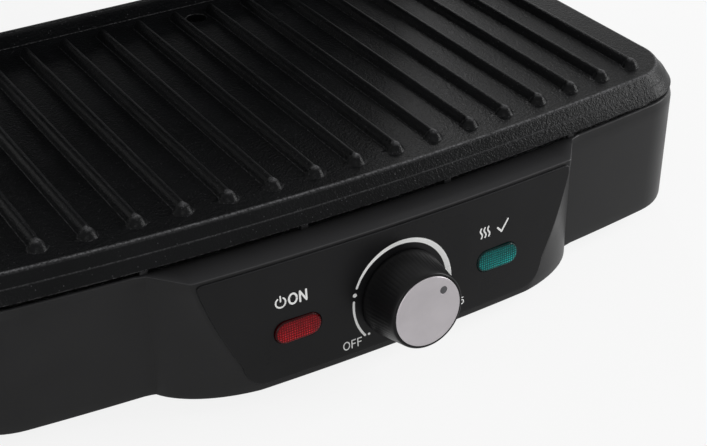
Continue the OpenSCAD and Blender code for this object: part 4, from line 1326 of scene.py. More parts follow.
        # Painted shade: the housing's top faces are marked to render darker with less gloss.
        mark(shell, np.where(height > self.top - 0.01, 1.0, 0.0), SHADE)
        cut(shell, self.openings(), TO_ROW, self.crisp_angle)
        rests = MeshMaker()
        half_x, half_y = self.rest_half
        for x in self.rest_x:
            for y in (PLAN.front_y(x, self.rest_inset), PLAN.depth / 2 - self.rest_inset):
                low = (x - half_x, y - half_y, self.top - 0.1)
                high = (x + half_x, y + half_y, self.top + self.rest_height)
                rests.block(low, high, self.rest_round)
        self.add_bosses(rests)
        install(shell, Body.BASE, "housing_plastic", ["base_housing"])
        install(rests.build("plate_rests_and_bosses", TO_ROW), Body.BASE, "housing_plastic")

    def add_bosses(self, maker: MeshMaker) -> None:
        """Adds the bosses that hold the bottom cover's screws.

        Args:
            maker: Where the bosses are added.
        """
        side_x, side_y = self.side_boss
        front_x, front_y = self.front_boss
        places = [(x, y) for x in (-side_x, side_x) for y in (-side_y, side_y)]
        places += [(x, front_y) for x in (-front_x, front_x)]
        foot, head = TABLE_TO_BASE + self.boss_foot, self.shelf_top - self.boss_drop
        for place in places:
            maker.tube(place, self.boss_radius, SCREW_BORE, foot, head)


@dataclass(frozen=True)
class GrillPlate:
    """Ribbed cast plate, drawn with its floor at height 0."""

    name: str
    splash: bool
    floor_inset: float = 7.8
    edge_height: float = 8.5
    pocket_inset: float = 11.5
    thickness: float = 4.3
    rib_pitch: float = 17.0
    ribs: int = 17
    rib_height: float = 3.2
    rib_reach: float = 2.5
    bulb_height: float = 3.25
    blend: float = 16.0
    crest_reach: float = 1.7
    crest_glint: float = 0.5
    bulb_reach: float = 3.4
    rib_front: float = -75.7
    rib_end: float = 71.5
    splash_y: float = 82.75
    splash_height: float = 6.5
    splash_half: float = 132.0
    splash_reach: float = 1.8
    dip_reach: float = 6.6
    dip_depth: float = 0.8
    drain: tuple[float, float] = (8.5, 68.5)
    drain_radius: float = 4.5
    spout_radius: float = 6.5
    spout_reach: float = 37.0
    boss: tuple[float, float] = (141.0, 62.0)
    boss_radius: float = 5.0
    boss_reach: float = 18.9
    sunk: float = 0.2
    element_bend: float = 46.0
    element_start: float = -112.0
    element_far: float = 66.0
    groove_half: float = 3.5
    near_rib: tuple[float, ...] = (0, 0.5, 1.0, 1.4, 1.75, 2.05, 2.35, 2.7, 3.1, 3.7, 5.5, 8.5)
    front_rows: tuple[float, ...] = (0, 0.5, 1.6, 3.2, 4.6)
    front_dense: tuple[float, float, float] = (5.4, 12.6, 0.42)
    front_wide: tuple[float, ...] = (13.4, 15, 18, 22)
    wall_rows: tuple[float, ...] = (
        0, 0.12, 0.22, 0.34, 0.5, 0.8, 1.3, 1.95, 2.6,
        3.1, 3.4, 3.56, 3.68, 3.8, 4.0, 4.4, 5.4, 7, 9,
    )
    back_dense: tuple[float, float, float] = (10.4, 17.0, 0.55)
    back_wide: tuple[float, ...] = (18, 20, 23)
    middle_rows: int = 12
    side_line: Line = (
        (7.45, -0.03), (7.14, -0.13), (6.86, -0.36), (6.3, -0.95), (3.86, -3.92), (3.62, -4.12),
        (3.34, -4.2), (3.16, -4.4), (0.82, -7.9), (0.6, -8.25),
    )
    lip_inset: float = 0.7
    edge_highlight_levels: tuple[tuple[int, float], ...] = ((0, 0.6), (1, 0.55), (2, 0.15), (5, 0.22), (6, 0.1))

    def nearest_rib(self, x: Points) -> Points:
        """Finds the rib that lies nearest."""
        half = self.ribs // 2
        return np.clip(np.round(x / self.rib_pitch), -half, half) * self.rib_pitch

    @staticmethod
    def bell(share: Points) -> Points:
        """Returns a round bump that is 1 in its middle and 0 from a share of 1 on."""
        return np.clip(1 - share**2, 0, None) ** 0.8

    def height(self, x: Points, y: Points) -> Points:
        """Returns the top's height over the floor.

        Args:
            x: Places to the right of the middle.
            y: Places behind the middle of the base.

        Returns:
            Height in millimetres.
        """
        centre = self.nearest_rib(x)
        start = self.rib_front + PLAN.bow(centre)
        past = np.maximum(np.maximum(start - y, y - self.rib_end), 0)
        bar = self.rib_height * self.bell(np.hypot(x - centre, past) / self.rib_reach)
        bulb = self.bulb_height * self.bell(np.hypot(x - centre, y - start) / self.bulb_reach)
        total = (bar**self.blend + bulb**self.blend) ** (1 / self.blend)
        if self.splash:
            aside = np.maximum(np.abs(x) - self.splash_half, 0)
            beyond = np.hypot(aside, y - self.splash_y) / self.splash_reach
            wall = self.splash_height * np.exp(-(beyond**12))
            away = np.hypot(x - self.drain[0], y - self.drain[1]) / self.dip_reach
            total = np.maximum(total, wall) - self.dip_depth * np.exp(-(away**4))
        return total

    def crest(self, x: Points, y: Points) -> Points:
        """Returns 1 on the tops of the ribs' round ends, and 0 away from them: where the painted glints go."""
        centre = self.nearest_rib(x)
        return self.bell(np.hypot(x - centre, y - self.rib_front - PLAN.bow(centre)) / self.crest_reach)

    def columns(self) -> Points:
        """Returns where the columns of the top stand, close together on the ribs.

        Returns:
            Places to the right of the middle.
        """
        half = PLAN.width / 2 - self.floor_inset
        centres = (np.arange(self.ribs) - self.ribs // 2) * self.rib_pitch
        x = np.concatenate([c + s * np.array(self.near_rib) for c in centres for s in (-1, 1)])
        corner = PLAN.corner(self.floor_inset)
        bend = half - corner * (1 - np.sin(np.linspace(0, math.pi / 2, 16)))
        x = np.unique(np.round(np.concatenate([x, bend, -bend]), 4))
        x = x[np.abs(x) <= half]
        keep = np.concatenate([[True], np.diff(x) > 0.12])
        keep[-2:] = True
        return x[keep]

    def edge_y(self, x: Points) -> tuple[Points, Points]:
        """Returns the floor's front and back edge at x.

        Args:
            x: Places to the right of the middle.

        Returns:
            The front edge and the back edge.
        """
        side = PLAN.right_side(self.floor_inset, PLAN.corner(self.floor_inset))
        half = PLAN.corner_steps
        across = np.abs(x)
        bowed = PLAN.front_y(x, self.floor_inset)
        front = np.where(across < side[0, 0], bowed, np.interp(across, *side[:half].T))
        far = side[half:][::-1]
        straight = PLAN.depth / 2 - self.floor_inset
        back = np.where(across < far[0, 0], straight, np.interp(across, *far.T))
        return front, back

    def top_grid(self) -> tuple[Points, int, int]:
        """Returns the points of the top, and the numbers of columns and rows.

        Returns:
            The points, row by row, and the two numbers.
        """
        x = self.columns()
        front, back = self.edge_y(x)
        ahead = np.concatenate([self.front_rows, np.arange(*self.front_dense), self.front_wide])
        behind = np.concatenate([self.wall_rows, np.arange(*self.back_dense), self.back_wide])
        share = np.linspace(0, 1, self.middle_rows)[1:-1]
        rows = [front + d for d in ahead]
        rows += [front + ahead[-1] + s * (back - front - ahead[-1] - behind[-1]) for s in share]
        rows += [back - d for d in behind[::-1]]
        y = np.array(rows)
        wide = np.broadcast_to(x, y.shape)
        z = self.height(wide, y)
        z[0], z[-1], z[:, 0], z[:, -1] = 0, 0, 0, 0
        return np.stack([wide, y, z], axis=-1).reshape(-1, 3), len(x), len(rows)

    def skirt(self, rim: Points) -> list[Points]:
        """Draws the rings from the floor's edge down the stepped side and in under it.

        Args:
            rim: The floor's edge, counterclockwise.

        Returns:
            The rings.
        """
        ahead = np.roll(rim[:, :2], -1, axis=0) - np.roll(rim[:, :2], 1, axis=0)
        normal = np.column_stack([ahead[:, 1], -ahead[:, 0]])
        normal /= np.linalg.norm(normal, axis=1)[:, None]
        profile = (
            *self.side_line, (self.lip_inset, -self.edge_height),
            (self.pocket_inset, -self.edge_height), (self.pocket_inset, -self.thickness),
        )
        return [at_height(rim[:, :2] + normal * (self.floor_inset - inset), z) for inset, z in profile]

    def build(self, place: Matrix, node: str, body: Body) -> None:
        """Builds the plate.

        Args:
            place: Where it stands, in metres.
            node: Solid that it stands for.
            body: Body that it rides on.
        """
        maker = MeshMaker()
        points, wide, deep = self.top_grid()
        index = np.arange(wide * deep).reshape(deep, wide)
        faces = grid_faces(index)
        rim_index = grid_rim(index)
        rings = self.skirt(points[rim_index])
        n = len(rim_index)
        start = len(points)
        lower = [start + k * n + np.arange(n) for k in range(len(rings))]
        for upper_ring, lower_ring in zip([rim_index, *lower], lower):
            after_upper, after_lower = np.roll(upper_ring, -1), np.roll(lower_ring, -1)
            faces += np.stack([upper_ring, lower_ring, after_lower, after_upper], axis=-1).tolist()
        faces.append(lower[-1][::-1].tolist())
        maker.add(np.vstack([points, *rings]), faces)
        plate = maker.build(self.name, place, 40.0)
        # Painted glints on the tops of the rib ends, and painted highlight along the floor's edge and the upper
        # levels of the front edge.
        shares = np.zeros(len(plate.data.vertices))
        shares[:start] = self.crest_glint * self.crest(points[:, 0], points[:, 1])
        shares[rim_index] = 0.2
        for level, share in self.edge_highlight_levels:
            shares[lower[level]] = share
        mark(plate, shares)
        if self.splash:
            hole = MeshMaker()
            drain = circle(self.drain_radius, 48, self.drain)
            hole.rings([at_height(drain, -self.thickness - 3), at_height(drain, 5)])
            cut(plate, hole, place, 40.0)
        install(plate, body, "nonstick", [node])
        install(self.underside().build(f"{self.name}_bosses", place), body, "nonstick")

    def underside(self) -> MeshMaker:
        """Returns the bosses, the spout and the element's groove under the plate.

        Returns:
            The shapes.
        """
        maker = MeshMaker()
        root = -self.thickness + self.sunk
        boss_x, boss_y = self.boss
        for x in (-boss_x, boss_x):
            for y in (-boss_y, boss_y):
                maker.tube((x, y), self.boss_radius, SCREW_BORE, -self.boss_reach, root)
        if self.splash:
            maker.tube(self.drain, self.spout_radius, self.drain_radius, -self.spout_reach, root)
        self.add_groove(maker)
        return maker

    def add_groove(self, maker: MeshMaker) -> None:
        """Adds the two walls that hold the heating element.

        Args:
            maker: Where the walls are added.
        """
        turn = np.linspace(-math.pi / 2, math.pi / 2, 40)
        for gap in (-self.groove_half, self.groove_half):
            sides = []
            for half_wall in (-1.0, 1.0):
                r = self.element_bend + gap + half_wall
                arc = np.column_stack([self.element_far + r * np.cos(turn), r * np.sin(turn)])
                sides.append(np.vstack([(self.element_start, -r), arc, (self.element_start, r)]))
            outline = np.vstack([sides[1], sides[0][::-1]])
            heights = (-self.edge_height, -self.thickness + self.sunk)
            maker.rings([at_height(outline, z) for z in heights])


@dataclass(frozen=True)
class Sign:
    """Where a printed sign stands, from the knob's axis, and how tall and thick it is."""

    corner: tuple[float, float]
    height: float
    stroke: float = 0.42


@dataclass(frozen=True)
class ControlPanel:
    """Smooth film on the box's face, with its lamps and printed marks."""

    lamp_x: float = 42.6
    bottom: float = -18.37
    top: float = 27.09
    low_corner: float = 9.0
    high_corner: float = 2.4
    edge: float = 1.0
    even_half: float = 50.0
    film_back: float = 0.1
    round_width: float = 0.3
    round_drop: float = 0.28
    end_slope: float = 0.6
    end_height: float = 0.02
    lamp_hole: tuple[float, float] = (18.9, 9.1)
    shaft_hole: float = 5.15
    lens_size: tuple[float, float] = (18.6, 8.8)
    lens_line: Line = (
        (-4.4, -1.5), (-3.2, -1.5), (-3.2, 0.0), (0.95, 0.0), (1.2, 0.07), (1.4, 0.2),
        (1.56, 0.42), (1.66, 0.75), (1.72, 1.2), (1.77, 1.9), (1.8, 3.0), (1.8, 4.2),
    )
    print_height: float = 0.05
    scale_radius: float = 20.35
    scale_start: tuple[float, float] = (217.0, 172.7)
    scale_run: tuple[float, float] = (157.0, -37.0)
    scale_thin: float = 0.9
    scale_thick: float = 2.8
    dot_angle: float = 165.0
    dot_radius: float = 0.8
    off_dot: tuple[float, float] = (-14.6, -12.3)
    off_dot_radius: float = 0.5
    off_word: Sign = Sign((-25.2, -15.7), 3.1)
    highest: Sign = Sign((25.6, -14.2), 2.6)
    power_sign: Sign = Sign((-48.6, 12.1), 1.9, 0.6)
    on_word: Sign = Sign((-45.4, 10.3), 3.9, 0.75)
    heat_sign: Sign = Sign((35.4, 10.2), 3.9, 0.65)
    tick: Sign = Sign((43.0, 10.2), 4.2, 0.75)

    def side_x(self, v: float) -> float:
        """Returns the panel's half width at v up the face.

        Args:
            v: Place up the face from the knob's centre.

        Returns:
            The half width.
        """
        shell = BaseShell()
        t = (self.top + self.edge - v) / (self.top + self.edge - self.bottom + 3.0)
        narrowing = (1 - shell.side_curve) * t + shell.side_curve * t * t
        return shell.face_top - (shell.face_top - shell.face_bottom) * narrowing - self.edge

    def chains(self) -> tuple[Points, Points]:
        """Draws the right half of the outline.

        Returns:
            The lower line and the upper one, both from the middle out.
        """
        low_v = self.bottom + self.low_corner
        a = np.linspace(0, math.pi / 2, 24)
        foot_x = self.side_x(low_v) - self.low_corner
        foot_v = self.bottom + self.low_corner * (1 - np.cos(a))
        bend = np.column_stack([foot_x + self.low_corner * np.sin(a), foot_v])
        high_v = self.top - self.high_corner
        side_v = np.linspace(low_v, high_v, 30)[1:]
        side = np.array([(self.side_x(v), v) for v in side_v])
        head_x = self.side_x(self.top) - self.high_corner
        head_v = high_v + self.high_corner * np.cos(a)
        curl = np.column_stack([head_x + self.high_corner * np.sin(a), head_v])
        reach = side[-1, 0]
        curl[:, 0] = np.minimum(curl[:, 0], reach)
        lower = np.vstack([(0.0, self.bottom), bend, side])
        upper = np.vstack([(0.0, self.top), curl[:-1], (reach, high_v)])
        return lower, upper

    def build(self) -> None:
        """Builds the film, the lenses and the print."""
        lower, upper = self.chains()
        reach = lower[-1, 0]
        even = self.even_half
        closer = even + (reach - even) * np.sin(np.linspace(0, math.pi / 2, 44))
        half_x = np.concatenate([np.linspace(0, even, 40), closer])
        x = np.unique(np.concatenate([-half_x, half_x]))
        low = np.interp(np.abs(x), *lower.T)
        high = np.interp(np.abs(x), *upper.T)
        high[[0, -1]] = low[[0, -1]] + self.end_height
        ease = (1 - np.cos(np.linspace(0, math.pi, 26))) / 2
        v = low + ease[:, None] * (high - low)
        wide = np.broadcast_to(x, v.shape)
        edge_gap = np.minimum(np.minimum(v - low, high - v), (reach - np.abs(wide)) * self.end_slope)
        out = FACE.film_top - self.round_drop * (1 - np.clip(edge_gap / self.round_width, 0, 1)) ** 2
        top = FACE.point(wide, v, out).reshape(-1, 3)
        under = FACE.point(wide, v, self.film_back).reshape(-1, 3)
        index = np.arange(v.size).reshape(v.shape)
        faces = grid_faces(index)
        rim = grid_rim(index)
        after = np.roll(rim, -1)
        wall = np.stack([rim, rim + v.size, after + v.size, after], axis=-1)
        below = [[i + v.size for i in face[::-1]] for face in faces]
        maker = MeshMaker()
        maker.add(np.vstack([top, under]), [*faces, *below, *wall.tolist()])
        film = maker.build("control_film", TO_ROW)
        shares = np.zeros(2 * v.size)
        shares[rim] = 0.5
        mark(film, shares)
        tools = MeshMaker()
        for side in (-1, 1):
            BaseShell.through_face(tools, capsule(*self.lamp_hole), side * self.lamp_x)
        BaseShell.through_face(tools, circle(self.shaft_hole, 40), 0.0)
        cut(film, tools, TO_ROW)
        install(film, Body.BASE, "panel_black", ["control_panel"])
        self.build_lens(-1, "power_lens", "lens_red")
        self.build_lens(1, "ready_lens", "lens_green")
        self.build_print()

    def build_lens(self, side: int, node: str, slot: str) -> None:
        """Builds one domed lens with its flange behind the wall.

        Args:
            side: -1 for the left lens, 1 for the right one.
            node: Solid that it stands for.
            slot: Material slot.
        """
        length, width = self.lens_size
        maker = MeshMaker()
        maker.rings([
            at_height(capsule(length - 2 * inset, width - 2 * inset), out)
            for out, inset in self.lens_line
        ])
        maker.moved(FACE.flat_matrix(side * self.lamp_x))
        install(maker.build(f"{node}_dome", TO_ROW), Body.BASE, slot, [node])

    def build_print(self) -> None:
        """Builds the white scale, OFF, the highest number and the plain signs over the lamps."""
        marks = PanelPrint(self.print_height)
        ring = self.scale_radius
        marks.arc((0, 0), ring, *self.scale_start, self.scale_thin, self.scale_thin)
        angle = math.radians(self.dot_angle)
        marks.dot((ring * math.cos(angle), ring * math.sin(angle)), self.dot_radius)
        marks.arc((0, 0), ring, *self.scale_run, self.scale_thin, self.scale_thick)
        marks.dot(self.off_dot, self.off_dot_radius)
        marks.word("OFF", self.off_word)
        marks.word("5", self.highest)
        marks.power_sign(self.power_sign)
        marks.word("ON", self.on_word)
        marks.heat_sign(self.heat_sign)
        marks.tick(self.tick)
        install(marks.maker.build("panel_print", TO_ROW), Body.BASE, "pale_plastic", finish="white_print")


TURN = np.linspace(0, 2 * math.pi, 33)
ROUND_LETTER = np.column_stack([0.5 + 0.5 * np.cos(TURN), 0.5 + 0.5 * np.sin(TURN)])
FIVE_BENDS = [(0.06, 0.56), (0.34, 0.64), (0.6, 0.5), (0.66, 0.3), (0.5, 0.06), (0.24, 0), (0, 0.1)]
FIVE_BOWL = smooth_path(FIVE_BENDS, 6)


class PanelPrint:
    """White marks printed on the film, drawn as strokes."""

    GLYPHS = {
        "O": [ROUND_LETTER.tolist()],
        "F": [[(0, 0), (0, 1)], [(0, 1), (0.62, 1)], [(0, 0.52), (0.55, 0.52)]],
        "N": [[(0, 0), (0, 1)], [(0, 1), (0.8, 0)], [(0.8, 0), (0.8, 1)]],
        "5": [
            [(0.6, 1), (0.12, 1)],
            [(0.12, 1), (0.06, 0.56)],
            FIVE_BOWL.tolist(),
        ],
    }
    WIDTHS = {"O": 1.0, "F": 0.6, "N": 0.8, "5": 0.66}
    SLIM = 0.78
    LETTER_GAP = 0.32
    WAVE_GAP = 1.7
    WAVE_SWING = 0.42

    def __init__(self, height: float) -> None:
        """Starts with no mark.

        Args:
            height: How far the print stands on the film.
        """
        self.maker = MeshMaker()
        self.height = height
        self.strokes = 0

    def stroke(self, path: Sequence[Sequence[float]], first: float, last: float) -> None:
        """Adds a stroke with round ends.

        Args:
            path: Points to the right of and up from the knob's centre.
            first: Width at the start.
            last: Width at the end.
        """
        p = np.array(path, float)
        if len(p) == 2:
            p = p[0] + np.linspace(0, 1, 5)[:, None] * (p[1] - p[0])
        ahead = np.gradient(p, axis=0)
        ahead /= np.linalg.norm(ahead, axis=1)[:, None]
        aside = np.column_stack([-ahead[:, 1], ahead[:, 0]])
        half = np.linspace(first, last, len(p))[:, None] / 2
        turn = np.linspace(0, math.pi, 9)[1:-1, None]
        end_cap = p[-1] + half[-1] * (-aside[-1] * np.cos(turn) + ahead[-1] * np.sin(turn))
        start_cap = p[0] + half[0] * (aside[0] * np.cos(turn) - ahead[0] * np.sin(turn))
        right, left = p - aside * half, p + aside * half
        ring = np.vstack([right, end_cap, left[::-1], start_cap])
        n, m, c = len(ring), len(p), len(end_cap)
        lift = FACE.film_top + self.height + 0.002 * (self.strokes % 5)
        self.strokes += 1
        levels = (lift, FACE.film_top - self.height)
        points = np.vstack([FACE.point(ring[:, 0], ring[:, 1], out) for out in levels])
        left_at = [m + c + m - 1 - i for i in range(m)]
        top = [(i, i + 1, left_at[i + 1], left_at[i]) for i in range(m - 1)]
        top.append(tuple(range(m - 1, m + c + 1)))
        top.append((*range(m + c + m - 1, n), 0))
        bottom = [tuple(n + i for i in face[::-1]) for face in top]
        sides = [(i, n + i, n + (i + 1) % n, (i + 1) % n) for i in range(n)]
        self.maker.add(points, [*top, *bottom, *sides])

    def arc(
        self,
        centre: Sequence[float],
        radius: float,
        start: float,
        end: float,
        first: float,
        last: float,
    ) -> None:
        """Adds an arc from one angle to another, in degrees anticlockwise from the right.

        Args:
            centre: Middle of the arc.
            radius: Radius of the stroke's middle.
            start: First angle.
            end: Last angle.
            first: Width at the start.
            last: Width at the end.
        """
        a = np.radians(np.linspace(start, end, max(12, int(abs(end - start) / 2.5))))
        path = np.column_stack([centre[0] + radius * np.cos(a), centre[1] + radius * np.sin(a)])
        self.stroke(path, first, last)

    def dot(self, centre: Sequence[float], radius: float) -> None:
        """Adds a round dot.

        Args:
            centre: Middle of the dot.
            radius: Its radius.
        """
        reach = 0.02
        x, v = centre
        self.stroke([(x - reach, v), (x + reach, v)], 2 * radius, 2 * radius)

    def word(self, text: str, sign: Sign) -> None:
        """Adds letters or numbers.

        Args:
            text: Characters that have a glyph here.
            sign: Their lower left corner, height and stroke.
        """
        (x, v), slim = sign.corner, self.SLIM * sign.height
        for character in text:
            for path in self.GLYPHS[character]:
                placed = [(x + slim * px, v + sign.height * py) for px, py in path]
                self.stroke(placed, sign.stroke, sign.stroke)
            x += slim * self.WIDTHS[character] + self.LETTER_GAP * sign.height

    def power_sign(self, sign: Sign) -> None:
        """Adds the common sign of a broken ring with a bar.

        Args:
            sign: The ring's middle, its radius and the stroke.
        """
        (x, v), radius = sign.corner, sign.height
        self.arc(sign.corner, radius, 125.0, 415.0, sign.stroke, sign.stroke)
        self.stroke([(x, v + 0.25 * radius), (x, v + 1.3 * radius)], sign.stroke, sign.stroke)

    def heat_sign(self, sign: Sign) -> None:
        """Adds three wavy lines for heat.

        Args:
            sign: Their lower left corner, height and stroke.
        """
        (left, low), share = sign.corner, np.linspace(0, 1, 20)
        for k in range(3):
            x = left + self.WAVE_GAP * k + self.WAVE_SWING * np.sin(share * 2 * math.pi)
            self.stroke(np.column_stack([x, low + sign.height * share]), sign.stroke, sign.stroke)

    def tick(self, sign: Sign) -> None:
        """Adds a tick.

        Args:
            sign: Its lower left corner, height and stroke.
        """
        (x, v), height = sign.corner, sign.height
        low = (x + 0.42 * height, v)
        self.stroke([(x, v + 0.45 * height), low], sign.stroke, sign.stroke)
        self.stroke([low, (x + 1.15 * height, v + height)], sign.stroke, sign.stroke)


@dataclass(frozen=True)
class Knob:
    """Thermostat knob: a fluted skirt with a spun metal disc."""

    base_radius: float = 17.2
    front_radius: float = 14.6
    height: float = 15.9
    panel_gap: float = 1.5
    eye: float = 0.3
    bore: float = 3.06
    bore_end: float = 12.4
    stem: float = 5.5
    stem_end: float = 5.2
    hollow: float = 12.9
    hollow_roof: float = 13.3
    mouth_line: Line = ((15.2, 0.05), (15.5, 0.0))
    foot_line: Line = ((0.35, 0.0), (0.1, 0.12))
    side_levels: tuple[float, ...] = (0.45, 1.0, 1.8, 3.0, 6.0, 9.0, 11.5, 13.0, 14.0, 14.6)
    flute_start: float = 0.8
    flute_rise: float = 1.4
    flute_stop: float = 14.2
    flute_fall: float = 1.6
    rim_line: Line = (
        (14.68, 15.1), (14.6, 15.45), (14.42, 15.72), (14.15, 15.87),
        (13.85, 15.88), (13.66, 15.74), (13.6, 15.5),
    )
    skirt_steps: int = 480
    disc_steps: int = 160
    disc_gap: float = 0.05
    disc_chamfer: float = 0.1
    disc_edge: Line = ((0.0, 0.3), (0.12, 0.1), (0.35, 0.0), (1.0, 0.02))
    disc_dish: float = 0.03
    marker_depth: float = 0.25
    marker_line: Line = ((1.48, 0.3), (1.48, 0.12), (1.3, 0.08))
    marker_steps: int = 32
    disc_radius: float = 13.5
    disc_recess: float = 15.1
    disc_top: float = 16.15
    marker_reach: float = 9.3
    marker_angle: float = 45.0
    marker_radius: float = 1.5
    flutes: int = 60
    flute_depth: float = 0.08

    def place(self) -> Matrix:
        """Returns the matrix in millimetres that stands the knob on its axis."""
        return FACE.flat_matrix() @ Matrix.Translation((0, 0, self.panel_gap))

    def skirt_section(self) -> list[tuple[float, float, float]]:
        """Draws half of the skirt's section, from the bore out and over the rim to the disc's seat.

        Returns:
            Radius, height and share of the flutes' depth, place by place.
        """
        taper = (self.base_radius - self.front_radius) / self.height
        inside = [(self.eye, self.bore_end), (self.bore, self.bore_end), (self.bore, self.stem_end)]
        inside += [(self.stem, self.stem_end), (self.stem, self.hollow_roof)]
        inside += [(self.hollow, self.hollow_roof), *self.mouth_line]
        inside += [(self.base_radius - inset, z) for inset, z in self.foot_line]
        section = [(radius, z, 0.0) for radius, z in inside]
        for z in self.side_levels:
            rise = min(1.0, max(0.0, (z - self.flute_start) / self.flute_rise))
            fall = min(1.0, max(0.0, (self.flute_stop - z) / self.flute_fall))
            section.append((self.base_radius - taper * z, z, rise * fall))
        seat = [(self.rim_line[-1][0], self.disc_recess), (self.eye, self.disc_recess)]
        return section + [(radius, z, 0.0) for radius, z in (*self.rim_line, *seat)]

    def disc_section(self) -> list[tuple[float, float, float]]:
        """Draws half of the disc's section, from its back over the edge to its face.

        Returns:
            Radius, height and 0 for no flutes, place by place.
        """
        low, edge = self.disc_recess + self.disc_gap, self.disc_radius
        places = [(self.eye, low), (edge - self.disc_chamfer, low), (edge, low + self.disc_chamfer)]
        places += [(edge - inset, self.disc_top - drop) for inset, drop in self.disc_edge]
        places.append((self.eye, self.disc_top - self.disc_dish))
        return [(radius, z, 0.0) for radius, z in places]

    def build(self) -> None:
        """Builds the skirt, the disc and its marker."""
        skirt = MeshMaker()
        skirt.lathe(self.skirt_section(), self.skirt_steps, self.flute_depth, self.flutes)
        turned = skirt.moved(self.place()).build("knob_fluted_skirt", TO_ROW)
        install(turned, Body.KNOB, "knob_black", ["knob_skirt"])
        disc = MeshMaker()
        disc.lathe(self.disc_section(), self.disc_steps)
        plate = disc.moved(self.place()).build("knob_spun_disc", TO_ROW)
        angle = math.radians(self.marker_angle)
        spot = (self.marker_reach * math.cos(angle), self.marker_reach * math.sin(angle))
        hole = MeshMaker()
        rim = circle(self.marker_radius, self.marker_steps, spot)
        heights = (self.disc_top - self.marker_depth, self.disc_top + 1)
        hole.rings([at_height(rim, z) for z in heights])
        cut(plate, hole.moved(self.place()), TO_ROW)
        install(plate, Body.KNOB, "disc_metal", ["knob_disc"])
        ink = MeshMaker()
        ink.rings([
            at_height(circle(radius, self.marker_steps, spot), self.disc_top - drop)
            for radius, drop in self.marker_line
        ])
        dot = ink.moved(self.place()).build("knob_marker_dot", TO_ROW)
        install(dot, Body.KNOB, "knob_black", finish="marker_ink")


@dataclass(frozen=True)
class Lid:
    """The lid's domed shell and its handle, drawn closed and placed open."""

    bottom: float = 84.1
    height: float = 46.0
    wall: float = 2.6
    dome: tuple[tuple[float, float], ...] = (
        (3.1, 0.0), (23.92, 1.6), (34.04, 5.2), (40.02, 11.0),
        (43.7, 20.0), (45.54, 34.0), (46.0, 56.0), (46.0, 80.0),
    )
    grip_half: float = 76.4
    grip_depth: float = 22.0
    grip_height: float = 14.0
    grip_round: float = 5.0
    grip_tip: float = 0.45
    grip_z: float = 103.42
    grip_y: float = -126.5

    def ring(self, inset: float, z: float) -> Points:
        """Returns one level of the dome, with corners that stay round towards the top.

        Args:
            inset: How far the outline is drawn in.
            z: Height over the lid's rim.

        Returns:
            The ring.
        """
        radius = max(PLAN.corner_radius - 0.3 * inset, 6.0)
        radius = min(radius, PLAN.depth / 2 - inset - 1.0)
        return at_height(PLAN.outline(inset, radius), self.bottom + z)

    def build(self) -> None:
        """Builds the shell and the grip."""
        curve = smooth_path([(z, inset) for z, inset in self.dome], 7)
        inner = [(z * (1 - self.wall / self.height), inset + self.wall) for z, inset in curve[:-4][::-1]]
        lip = [(0.5, self.wall + 0.5), (0.0, self.wall + 0.2), (0.0, 1.5)]
        lip += [(0.15, 1.05), (0.5, 0.72), (1.2, 0.5)]
        rings = [self.ring(inset, z) for z, inset in [*inner, *lip, *curve.tolist()]]
        maker = MeshMaker()
        maker.rings(rings)
        shell = maker.build("lid_shell", LID_OPEN)
        tools = MeshMaker()
        for side in (-1, 1):
            for x, y, z, r in self.screw_holes(side):
                ring = circle(r, 20, (x, z))
                tools.rings([facing_back(ring, y + d) for d in (-6.0, 6.0)])
        cut(shell, tools, LID_OPEN)
        install(shell, Body.LID, "housing_plastic", ["lid_housing"])
        self.build_grip()

    def screw_holes(self, side: int) -> list[tuple[float, float, float, float]]:
        """Returns x, y, z and radius of the screw holes on one side.

        Args:
            side: -1 for the left side, 1 for the right one.

        Returns:
            One entry for each hole.
        """
        back = PLAN.depth / 2
        arms = [(side * 105.0 + x, back, 101.8, 1.8) for x in (-5.5, 5.5)]
        return [*arms, (side * 61.0, -back + 3.0, self.grip_z, 1.8)]

    def build_grip(self) -> None:
        """Builds the handle's grip: a bar with round edges and drawn-in ends."""
        steps = np.concatenate([1 - np.cos(np.linspace(0, math.pi / 2, 14)[1:]), np.linspace(1.4, 19, 30)])
        reach = np.concatenate([steps, [20.0]]) / 20.0
        left = -self.grip_half + reach * self.grip_half * 0.999
        rings = []
        for x in [*left, *(-left[::-1])]:
            past = max(0.0, 1 - (self.grip_half - abs(x)) / self.grip_round)
            size = self.grip_tip + (1 - self.grip_tip) * math.sqrt(1 - past**2)
            section = capsule(self.grip_depth * size, self.grip_height * size, 14)
            across, up = self.grip_y + section[:, 0], self.grip_z + section[:, 1]
            rings.append(np.column_stack([np.full(len(section), x), across, up]))
        maker = MeshMaker()
        maker.rings(rings)
        grip = maker.build("handle_soft_grip", LID_OPEN, 40.0)
        install(grip, Body.LID, "housing_plastic", ["handle_grip"])


